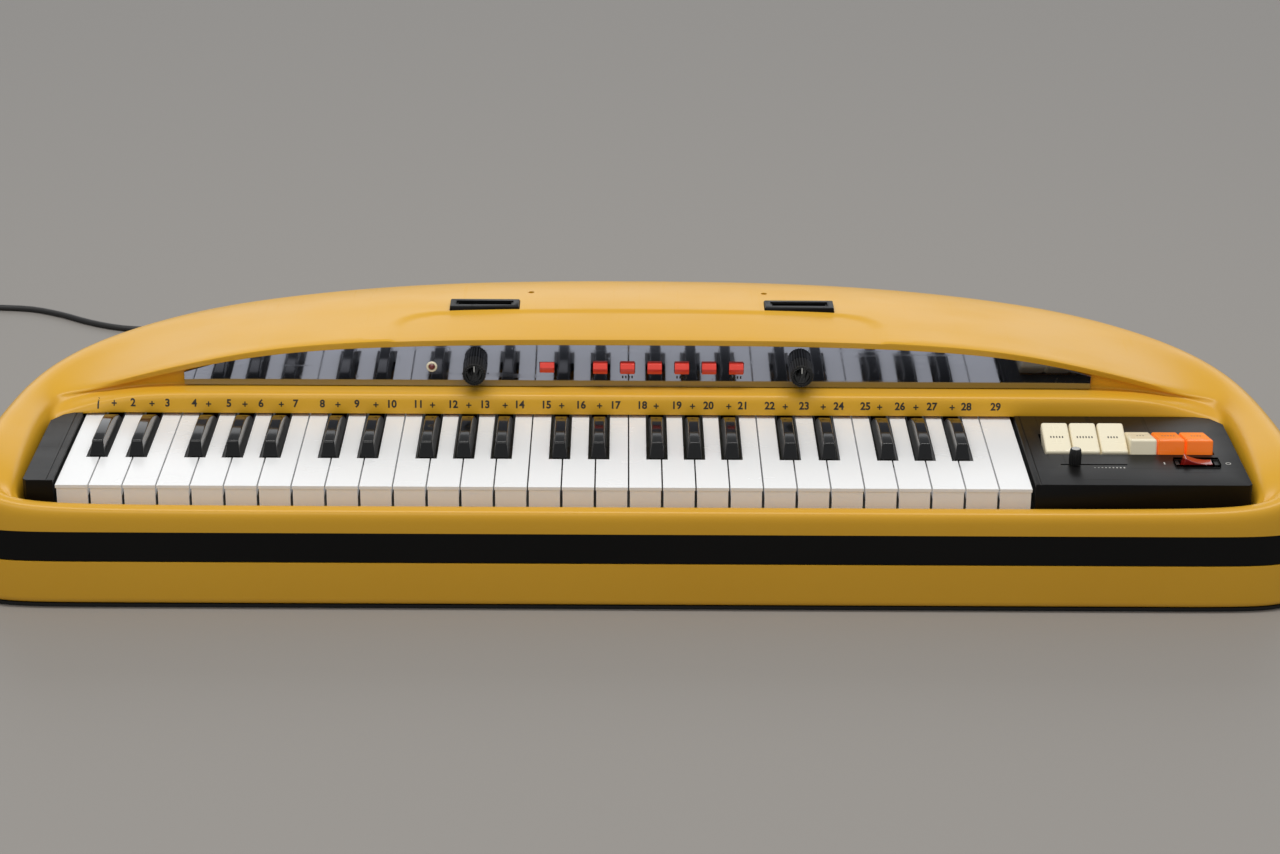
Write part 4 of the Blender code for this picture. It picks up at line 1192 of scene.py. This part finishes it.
@dataclass
class TabRow:
    """Six see-saw tabs that choose the sound."""

    left: float = 290.7
    pitch: float = 20.1
    width: float = 19.1
    pivot: Flat = (-75.5, 87.0)
    side: tuple[Flat, ...] = ((-16.2, 7.8), (17, 0), (15, -6), (2, -8.5), (-9, -8.5),
                              (-18.6, -4.6))
    leans: tuple[Lean, ...] = (Lean.FRONT_DOWN,) * 3 + (Lean.FRONT_UP,) * 3
    orange_from: int = 4
    # Printed strokes on each tab
    strokes: tuple[int, ...] = (5, 6, 4, 3, 5, 4)

    def build(self, shop: Workshop) -> None:
        """Builds the tabs, each with its printed mark."""
        for i, lean in enumerate(self.leans):
            x0 = self.left + i * self.pitch + (self.pitch - self.width) / 2
            shape = [turn_flat(p, lean.value) for p in self.side]
            side = [(y + self.pivot[0], z + self.pivot[1]) for y, z in shape]
            mesh = pulled(side, x0, x0 + self.width, Axis.X)
            finish = Finishes.CREAM if i < self.orange_from else Finishes.ORANGE
            node = f"tone_tab_{i + 1}"
            tab = shop.piece(f"sound_tab_{i + 1}", mesh, finish, node, [node])
            soften(tab, 1.9, 4)
            self.build_mark(shop, i, x0 + self.width / 2, lean)

    def build_mark(self, shop: Workshop, i: int, middle: float, lean: Lean) -> None:
        """A row of short strokes on a tab's face, different on each."""
        strokes = bmesh.new()
        count = self.strokes[i]
        (y0, z0), (y1, z1) = self.side[:2]
        slope = (z1 - z0) / (y1 - y0)
        for k in range(count):
            x = (k - (count - 1) / 2) * 2.1
            stroke = block((x - 0.45, -1.1, -LIFT), (x + 0.45, 0.9, 0.07 - LIFT))
            tilt = Matrix.Rotation(math.atan(slope), 4, "X")
            join_in(strokes, stand(stroke, Vector((0, 0, z0 - y0 * slope + 0.04)) * MM, tilt))
        turn = Matrix.Rotation(math.radians(lean.value), 4, "X")
        stand(strokes, at(middle, *self.pivot), turn)
        shop.piece(f"sound_tab_mark_{i + 1}", strokes, Finishes.INK, f"tone_tab_{i + 1}")


@dataclass
class Slider:
    """The volume slider's ribbed cap and stem."""

    place: Flat = (309.0, -113.5)
    foot: float = 85.2
    top: float = 96.7
    ribs: int = 18
    # Radius at the ribs' tips and between them
    radii: Flat = (4.4, 3.85)

    def build(self, shop: Workshop) -> None:
        """Builds the cap with a pale disc let into its top, and its flat stem."""
        mesh = bmesh.new()
        ring = []
        for i in range(self.ribs * 2):
            radius = self.radii[0] if i % 2 else self.radii[1]
            angle = math.tau * i / (self.ribs * 2)
            dot = Vector((radius * math.cos(angle), radius * math.sin(angle), 0)) * MM
            ring.append(mesh.verts.new(dot))
        face = mesh.faces.new(ring)
        for height, scale in ((7.0, 1.0), (self.top - self.foot - 7.6, 0.86), (0.6, 0.9)):
            grown = bmesh.ops.extrude_face_region(mesh, geom=[face])
            if scale != 1.0:
                bmesh.ops.delete(mesh, geom=[face], context="FACES_KEEP_BOUNDARY")
            face = next(f for f in grown["geom"] if isinstance(f, bmesh.types.BMFace))
            verts = moved(grown)
            bmesh.ops.translate(mesh, vec=(0, 0, height * MM), verts=verts)
            bmesh.ops.scale(mesh, vec=(scale, scale, 1), verts=verts)
        stand(mesh, at(*self.place, self.foot))
        cap = shop.piece("slider_cap", mesh, Finishes.KNOB, "volume_slider", ["volume_slider"])
        x, y = self.place
        stem = block((x - 2, y - 0.7, self.foot - 7), (x + 2, y + 0.7, self.foot + 1))
        shop.piece("slider_stem", stem, Finishes.STEEL, "volume_slider")
        disc = turned(((0, 0), (2.9, 0), (2.9, 0.35), (2.6, 0.5), (0, 0.5)), 32)
        shop.piece("slider_disc", stand(disc, at(x, y, self.top - 0.3)), Finishes.MARK,
                   "volume_slider")
        cap.data.set_sharp_from_angle(angle=math.radians(25))


@dataclass
class Rocker:
    """The red mains rocker."""

    place: Point = (396.0, -110.4, 83.3)
    lean: float = -12.0
    half: float = 4.4
    side: tuple[Flat, ...] = (
        (-10, 4.6), (-5, 3.4), (0, 3), (5, 3.4), (10, 4.6), (10.6, -4), (4, -7), (-4, -7),
        (-10.6, -4),
    )

    def build(self, shop: Workshop) -> None:
        """Builds the rocker, dished along its top."""
        x, y, z = self.place
        shape = [turn_flat(p, self.lean) for p in self.side]
        mesh = pulled([(x + a, z + b) for a, b in shape], y - self.half, y + self.half, Axis.Y)
        rocker = shop.piece("mains_rocker", mesh, Finishes.LENS, "power_rocker", ["power_rocker"])
        soften(rocker, 0.6, 3)


@dataclass
class MirrorFront:
    """The mirrored strip with its rhythm buttons, knobs and pilot lamp."""

    face: float = -5.5
    back: float = -3.7
    control_height: float = 114.5
    half_outline: tuple[Flat, ...] = (
        (335, 99), (335, 109), (312, 116), (292, 121.2), (262, 127), (235, 130.4), (205, 131.8),
        (100, 132.4),
    )
    knobs: tuple[tuple[str, float], ...] = (("knob_left", -120.0), ("knob_right", 120.0))
    stop_x: float = -67.0
    rhythm_x: float = 22.3
    rhythm_pitch: float = 20.05
    button: Flat = (10.6, 7.6)
    lamp_x: float = -152.0
    knob_radius: float = 9.0
    knob_ribs: int = 26
    knob_long: float = 15.6
    # How far the knob's rim dips at the four points of a rib
    rib_dips: tuple[float, ...] = (0.0, 0.2, 0.95, 0.2)
    knob_taper: float = 0.93
    # How far the sheet leans back, as a slope
    lean: float = 0.045
    # Printed strokes by each rhythm button
    strokes: tuple[int, ...] = (4, 4, 5, 4, 6, 4)

    def places(self) -> dict[str, float]:
        """Each button's name and X."""
        rhythm = {f"rhythm_button_{i + 1}": self.rhythm_x + (i - 2.5) * self.rhythm_pitch
                  for i in range(6)}
        return {"stop_button": self.stop_x, **rhythm}

    def build_sheet(self, shop: Workshop) -> None:
        """The mirrored sheet, with holes for what goes through it."""
        outline = list(self.half_outline) + [(-x, z) for x, z in reversed(self.half_outline)]
        sheet = shop.piece("mirror_sheet", pulled(outline, self.face, self.back, Axis.Y),
                           Finishes.MIRROR, replaces=["mirror_panel"])
        soften(sheet, 0.25, 2)
        z, tools = self.control_height, []
        w, h = self.button[0] / 2 + 0.4, self.button[1] / 2 + 0.4
        for x in self.places().values():
            tools.append(block((x - w, -12, z - h), (x + w, 4, z + h)))
        for x in [x for _, x in self.knobs] + [self.lamp_x]:
            shaft = turned(((0, -9), (3.6, -9), (3.6, 9), (0, 9)), 24)
            tools.append(stand(shaft, at(x, -4, z), Matrix.Rotation(math.pi / 2, 4, "X")))
        cut_away(sheet, tools)
        for vert in sheet.data.vertices:
            vert.co.y -= (vert.co.z - at(0, 0, self.control_height).z) * self.lean
        sheet.data.shade_flat()

    def build_buttons(self, shop: Workshop) -> None:
        """Red push buttons with a sloped face, each with a dark flange behind the sheet."""
        w, h = self.button[0] / 2, self.button[1] / 2
        z = self.control_height
        for name, x in self.places().items():
            front = -9.0 if name == "stop_button" else -11.0
            side = [(front + 1.6, -h), (front + 0.5, -1.6), (front, 0.6), (front + 2.4, h),
                    (9.5, h), (9.5, -h)]
            mesh = pulled([(y, z + v) for y, v in side], x - w, x + w, Axis.X)
            button = shop.piece(name.replace("button", "key"), mesh, Finishes.RED, name, [name])
            soften(button, 0.35, 3, 14)
            guide = block((x - w - 1.5, 2.2, z - h - 1.5), (x + w + 1.5, 3.8, z + h + 1.5))
            shop.piece(name + "_flange", guide, Finishes.MATT, name)

    def build_knobs(self, shop: Workshop) -> None:
        """Ribbed knobs with a dished face and a pointer line."""
        upright = Matrix.Rotation(math.pi / 2, 4, "X")
        for name, x in self.knobs:
            mesh = bmesh.new()
            ring = []
            for i in range(self.knob_ribs * 4):
                radius = self.knob_radius - self.rib_dips[i % 4]
                angle = math.tau * i / (self.knob_ribs * 4)
                dot = Vector((radius * math.cos(angle), radius * math.sin(angle), 0)) * MM
                ring.append(mesh.verts.new(dot))
            face = mesh.faces.new(ring)
            grown = bmesh.ops.extrude_face_region(mesh, geom=[face])
            cap = next(f for f in grown["geom"] if isinstance(f, bmesh.types.BMFace))
            verts = moved(grown)
            bmesh.ops.translate(mesh, vec=(0, 0, self.knob_long * MM), verts=verts)
            bmesh.ops.scale(mesh, vec=(self.knob_taper, self.knob_taper, 1), verts=verts)
            for thickness, depth in ((0.9, 0.8), (0.8, 0.0), (0.5, -0.9)):
                bmesh.ops.inset_region(mesh, faces=[cap], thickness=thickness * MM, depth=0,
                                       use_even_offset=False)
                bmesh.ops.translate(mesh, vec=(0, 0, depth * MM), verts=cap.verts)
            stand(mesh, at(x, self.face - 0.5, self.control_height), upright)
            shop.piece(name + "_cap", mesh, Finishes.KNOB, name, [name], smooth=28)
            shaft = turned(((0, -9), (3.1, -9), (3.1, 9), (0, 9)), 24)
            stand(shaft, at(x, 1.0, self.control_height), upright)
            shop.piece(name + "_shaft", shaft, Finishes.STEEL, name)
            front = self.face - self.knob_long - 1.3
            line = block((x - 0.4, front - 0.1, self.control_height + 2.2),
                         (x + 0.4, front + 1.2, self.control_height + 6.8))
            shop.piece(name + "_pointer", line, Finishes.MARK, name)

    def build_lamp(self, shop: Workshop) -> None:
        """The pilot lamp: a cream ring round a dark red dome."""
        upright = Matrix.Rotation(math.pi / 2, 4, "X")
        place = at(self.lamp_x, self.face, self.control_height)
        ring = turned(((2.5, -6), (3.4, -6), (3.4, 0.1), (4.0, 0.1), (4.0, 0.7), (3.6, 1.3),
                       (2.9, 1.4), (2.5, 1.0), (2.5, -6)), 40)
        shop.piece("lamp_ring", stand(ring, place, upright), Finishes.CREAM)
        dome = turned(((0, -5), (2.4, -5), (2.4, 0.8), (2.0, 1.7), (1.2, 2.3), (0, 2.5)), 40)
        shop.piece("lamp_dome", stand(dome, place, upright), Finishes.DARK_LENS, smooth=60)

    def build_marks(self, shop: Workshop) -> None:
        """Plain printed strokes over and under the buttons, in place of words."""
        marks = bmesh.new()
        front = self.face - 0.06
        z = self.control_height

        def stroke(x: float, z0: float, wide: float, tall: float) -> None:
            """One printed bar, from its middle and size."""
            low = (x - wide / 2, front, z0 - tall / 2)
            high = (x + wide / 2, front + 0.05, z0 + tall / 2)
            join_in(marks, block(low, high))

        for k in range(4):
            stroke(self.stop_x + (k - 1.5) * 3.0, z + 8.0, 1.5, 2.0)
        for i, x in enumerate(list(self.places().values())[1:]):
            over = i % 2 == 0
            count = self.strokes[i]
            for k in range(count):
                stroke(x + (k - (count - 1) / 2) * 2.3, z + (7.9 if over else -7.7), 1.1, 1.7)
        for _, x in self.knobs:
            for k in range(7):
                angle = math.radians(210 - k * 40)
                reach = self.knob_radius + 1.9
                stroke(x + reach * math.cos(angle), z + reach * math.sin(angle), 0.8, 0.8)
        shop.piece("front_marks", marks, Finishes.INK)

    def build(self, shop: Workshop) -> None:
        """Builds the strip and everything on it."""
        self.build_sheet(shop)
        self.build_buttons(shop)
        self.build_knobs(shop)
        self.build_lamp(shop)
        self.build_marks(shop)


@dataclass
class MusicRestSockets:
    """Two black sockets that take the wire music rest."""

    places: tuple[tuple[str, float], ...] = (("left", -115.0), ("right", 121.0))
    y: float = 51.0
    size: Point = (52.0, 17.0, 24.0)
    slot: Flat = (40.0, 5.5)
    top: float = 144.4

    def build(self, shop: Workshop) -> None:
        """Builds each socket: a rounded frame with a stepped, deep slot."""
        w, d, h = (s / 2 for s in self.size)
        for side, x in self.places:
            mesh = block((x - w, self.y - d, self.top - 2 * h), (x + w, self.y + d, self.top))
            socket = shop.piece(f"rest_socket_{side}", mesh, Finishes.BLACK,
                                replaces=[f"music_rest_socket_{side}"])
            soften(socket, 1.1, 3)
            a, b = self.slot[0] / 2, self.slot[1] / 2
            pocket = block((x - a, self.y - b, self.top - 20), (x + a, self.y + b, self.top + 5))
            step = block((x - a - 1.4, self.y - b - 1.4, self.top - 0.9),
                         (x + a + 1.4, self.y + b + 1.4, self.top + 5))
            cut_away(socket, [pocket, step])
            socket.data.shade_smooth()
            socket.data.set_sharp_from_angle(angle=math.radians(35))


# ---------------------------------------------------------------- works and lead


@dataclass
class Works:
    """Chassis, boards, transformer and speaker, which the case hides: kept as packed."""

    finishes: tuple[tuple[str, Finish], ...] = (
        ("key_chassis", Finishes.STEEL), ("control_board", Finishes.BOARD),
        ("tone_generator_board", Finishes.BOARD), ("transformer", Finishes.IRON),
        ("speaker", Finishes.SPEAKER),
    )

    def build(self, shop: Workshop, nodes: dict[str, bpy.types.Object]) -> None:
        """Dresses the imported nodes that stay."""
        for name, finish in self.finishes:
            shop.keep_node(nodes[name], finish)


@dataclass
class MainsLead:
    """The mains lead: strain relief, cord with its stored coil, and two-pin plug."""

    diameter: float = 5.0
    exit: Point = (-120.0, 169.4, 25.0)
    # Where the cord lies, in millimetres above the floor, up to where the coil takes it
    route: tuple[Point, ...] = (
        (-120, 196, 25), (-120.5, 212, 22.5), (-122, 231, 14.5), (-126, 250, 6.8),
        (-137, 269, 3.4),
        (-162, 291, 2.7), (-200, 313, 2.6), (-250, 338, 2.6), (-305, 360, 2.6), (-362, 375, 2.6),
        (-415, 381, 2.6), (-449, 385, 2.6), (-480, 399, 2.6), (-508, 418, 2.6), (-537, 432, 2.6),
        (-568, 436, 2.6), (-592, 437.3, 2.7),
    )
    coil_centre: Flat = (-632.0, 405.0)
    outer: float = 32.5
    inner: float = 22.5
    layers: tuple[float, float, float] = (2.8, 7.8, 12.8)
    per_turn: int = 30
    plug_axis: tuple[float, float] = (-624.5, 22.1)
    plug_rear: float = 390.0

    def coil_points(self) -> list[Vector]:
        """The cord's centreline through its turns, wound in layers, in millimetres."""
        climb = math.radians(60)
        spiral = 2 * math.tau
        # (angle travelled, radius, height) at the ends of each stretch
        stretches = (
            (spiral, self.outer, self.inner, self.layers[0], self.layers[0]),
            (climb, self.inner, self.inner, self.layers[0], self.layers[1]),
            (spiral, self.inner, self.outer, self.layers[1], self.layers[1]),
            (climb, self.outer, self.outer, self.layers[1], self.layers[2]),
            (math.radians(330), self.outer, self.outer, self.layers[2], self.layers[2]),
        )
        angle, made = math.pi / 2, []
        for span, r0, r1, z0, z1 in stretches:
            steps = max(2, round(span / math.tau * self.per_turn))
            for k in range(steps):
                share = k / steps
                ease = share * share * (3 - 2 * share)
                r, z = r0 + (r1 - r0) * share, z0 + (z1 - z0) * ease
                turn = angle + span * share
                made.append(Vector((self.coil_centre[0] + r * math.cos(turn),
                                    self.coil_centre[1] + r * math.sin(turn), z)))
            angle += span
        return made

    def tail_points(self) -> list[Vector]:
        """From the last turn, round and up into the plug's rear end."""
        start_x = self.coil_centre[0] - self.outer
        axis_x, axis_z = self.plug_axis
        radius = (axis_x - start_x) / 2
        middle = Vector((start_x + radius, self.plug_rear - 5))
        made = [Vector((start_x, self.coil_centre[1], self.layers[2])),
                Vector((start_x, self.coil_centre[1] - 10, self.layers[2] + 0.3))]
        for k in range(13):
            turn = math.pi + math.pi * k / 12
            share = k / 12
            ease = share * share * (3 - 2 * share)
            made.append(Vector((middle.x + radius * math.cos(turn),
                                middle.y + radius * math.sin(turn),
                                self.layers[2] + 0.6 + (axis_z - self.layers[2] - 0.6) * ease)))
        return made + [Vector((axis_x, self.plug_rear + 3, axis_z))]

    def centreline(self) -> list[Vector]:
        """The whole cord's line: smooth along the floor, then its coil and tail."""
        joint = Vector((self.coil_centre[0] + 18.4, 437.5, 2.8))
        points = [*(Vector(p) for p in self.route), joint]
        ends = [points[0] * 2 - points[1]] + points + [points[-1] * 2 - points[-2]]
        made = []
        for a, b, c, d in zip(ends, ends[1:], ends[2:], ends[3:]):
            for u in (0, 1 / 3, 2 / 3):
                made.append(0.5 * (2 * b + (c - a) * u + (2 * a - 5 * b + 4 * c - d) * u**2
                                   + (3 * b - a - 3 * c + d) * u**3))
        return [p * MM for p in made + [points[-1]] + self.coil_points() + self.tail_points()]

    def build_relief(self, shop: Workshop) -> bpy.types.Object:
        """The tapered strain relief with its rings."""
        profile = [(0, 0.6), (8, 0.6), (8, 3.0), (7.4, 4.0), (5.6, 4.2)]
        for i in range(6):
            z, r = 5.0 + i * 3.4, 5.5 - i * 0.33
            profile += [(r, z), (r, z + 1.7), (r - 0.7, z + 1.9), (r - 0.75, z + 3.2)]
        profile += [(3.5, 25.8), (3.1, 26), (0, 26)]
        x, y, z = self.exit
        tilt = Matrix.Rotation(-math.pi / 2, 4, "X")
        mesh = stand(turned(profile, 36), Vector((x, y, z)) * MM, tilt)
        return shop.piece("strain_relief", mesh, Finishes.RUBBER, replaces=["cord_gland"])

    def build_plug(self, shop: Workshop) -> list[bpy.types.Object]:
        """The moulded two-pin plug lying on the coil."""
        x, z = self.plug_axis
        y = self.plug_rear
        plan = [(x - 4, y), (x - 6.5, y + 18), (x - 12.5, y + 35), (x - 12.5, y + 40),
                (x + 12.5, y + 40), (x + 12.5, y + 35), (x + 6.5, y + 18), (x + 4, y)]
        mesh = pulled(plan, z - 6.5 - LIFT, z + 6.5 - LIFT, Axis.Z)
        body = shop.piece("plug_body", mesh, Finishes.RUBBER, replaces=["mains_plug"])
        soften(body, 2.6, 4)
        pins = []
        forward = Matrix.Rotation(-math.pi / 2, 4, "X")
        for side, off in (("left", -9.5), ("right", 9.5)):
            pin = turned(((0, 0), (2.0, 0), (2.0, 17.5), (1.6, 18.7), (0.8, 19.2), (0, 19.3)), 24)
            place = Vector((x + off, y + 39.5, z)) * MM
            stand(pin, place, forward)
            pins.append(shop.piece(f"plug_pin_{side}", pin, Finishes.BRASS))
            sleeve = turned(((0, 0), (2.3, 0), (2.3, 7.0), (2.0, 7.3), (0, 7.3)), 24)
            stand(sleeve, place, forward)
            pins.append(shop.piece(f"plug_sleeve_{side}", sleeve, Finishes.RUBBER))
        return [body, *pins]

    def build(self, shop: Workshop) -> None:
        """Builds the lead."""
        fittings = [self.build_relief(shop), *self.build_plug(shop)]
        line = self.centreline()
        curve = bpy.data.curves.new("mains_flex", "CURVE")
        curve.dimensions = "3D"
        curve.bevel_depth = self.diameter / 2 * MM
        curve.bevel_resolution = 3
        curve.use_fill_caps = True
        run = curve.splines.new("POLY")
        run.points.add(len(line) - 1)
        for point, place in zip(run.points, line):
            point.co = (*place, 1)
        run.use_smooth = True
        flex = bpy.data.objects.new("mains_flex", curve)
        bpy.context.scene.collection.objects.link(flex)
        shop.dress(flex, Finishes.RUBBER, replaces=["mains_cord", "cord_coil"])


# ---------------------------------------------------------------- studio


@dataclass
class Studio:
    """Pale floor, soft lights and the camera."""

    lens: float = 81.81
    sensor: float = 36.0
    camera_place: Point = (-0.01249, -2.006, 0.896)
    camera_turn: Point = (67.614, -0.40, -0.245)
    floor_tone: Colour = (0.295, 0.276, 0.254)
    world_light: float = 0.40

    def build_camera(self) -> None:
        """Places the camera and makes it the scene's."""
        data = bpy.data.cameras.new("camera")
        data.lens, data.sensor_width = self.lens, self.sensor
        camera = bpy.data.objects.new("camera", data)
        camera.location = self.camera_place
        camera.rotation_euler = [math.radians(a) for a in self.camera_turn]
        bpy.context.scene.collection.objects.link(camera)
        bpy.context.scene.camera = camera

    def build_floor(self) -> None:
        """A plain pale floor."""
        mesh = bmesh.new()
        bmesh.ops.create_grid(mesh, x_segments=1, y_segments=1, size=8.0)
        data = bpy.data.meshes.new("floor")
        mesh.to_mesh(data)
        mesh.free()
        floor = bpy.data.objects.new("floor", data)
        bpy.context.scene.collection.objects.link(floor)
        paint = bpy.data.materials.new("floor_paint")
        paint.use_nodes = True
        shader = paint.node_tree.nodes["Principled BSDF"]
        shader.inputs["Base Color"].default_value = (*self.floor_tone, 1)
        shader.inputs["Roughness"].default_value = 0.65
        data.materials.append(paint)

    def softbox(self, name: str, place: Point, aim: Point, size: Flat, power: float,
                tone: Colour) -> None:
        """One rectangular soft light.

        Args:
            name: its name.
            place: where it hangs, in metres.
            aim: the point it faces.
            size: its width and height.
            power: its power in watts.
            tone: its colour.
        """
        data = bpy.data.lights.new(name, "AREA")
        data.shape = "RECTANGLE"
        data.size, data.size_y = size
        data.energy, data.color = power, tone
        light = bpy.data.objects.new(name, data)
        light.location = place
        light.rotation_euler = (Vector(aim) - Vector(place)).to_track_quat("-Z", "Y").to_euler()
        bpy.context.scene.collection.objects.link(light)

    def build(self) -> None:
        """Builds the studio."""
        scene = bpy.context.scene
        scene.view_settings.view_transform = "Standard"
        world = bpy.data.worlds.new("studio_air")
        world.use_nodes = True
        air = world.node_tree.nodes["Background"]
        air.inputs["Color"].default_value = (0.93, 0.96, 1.0, 1)
        air.inputs["Strength"].default_value = self.world_light
        scene.world = world
        self.build_camera()
        self.build_floor()
        self.softbox("top_softbox", (0.0, -0.35, 2.6), (0, 0, 0), (3.2, 0.45), 42,
                     (1.0, 0.985, 0.96))
        self.softbox("front_softbox", (-0.8, -2.6, 2.2), (0, -0.05, 0.05), (1.6, 1.2), 14,
                     (1.0, 0.98, 0.95))
        self.softbox("back_softbox", (0.0, 4.0, 1.9), (0, 0, 0.1), (6.0, 2.2), 45,
                     (0.97, 0.985, 1.0))


def main() -> None:
    """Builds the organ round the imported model."""
    logging.basicConfig(level=logging.INFO, format="%(name)s: %(message)s")
    for obj in list(bpy.data.objects):
        bpy.data.objects.remove(obj)
    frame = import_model()
    shop = Workshop(Effects.make())
    Studio().build()
    MainsLead().build(shop)
    shell = Case().build(shop)
    keys = Keyboard()
    keys.build(shop)
    NumberStrip(keys).build(shop, shell)
    EndPanels().build(shop)
    for part in (TabRow(), Slider(), Rocker(), MirrorFront(), MusicRestSockets()):
        part.build(shop)
    Works().build(shop, frame["nodes"])
    bpy.context.view_layer.update()


if __name__ == "__main__":
    main()
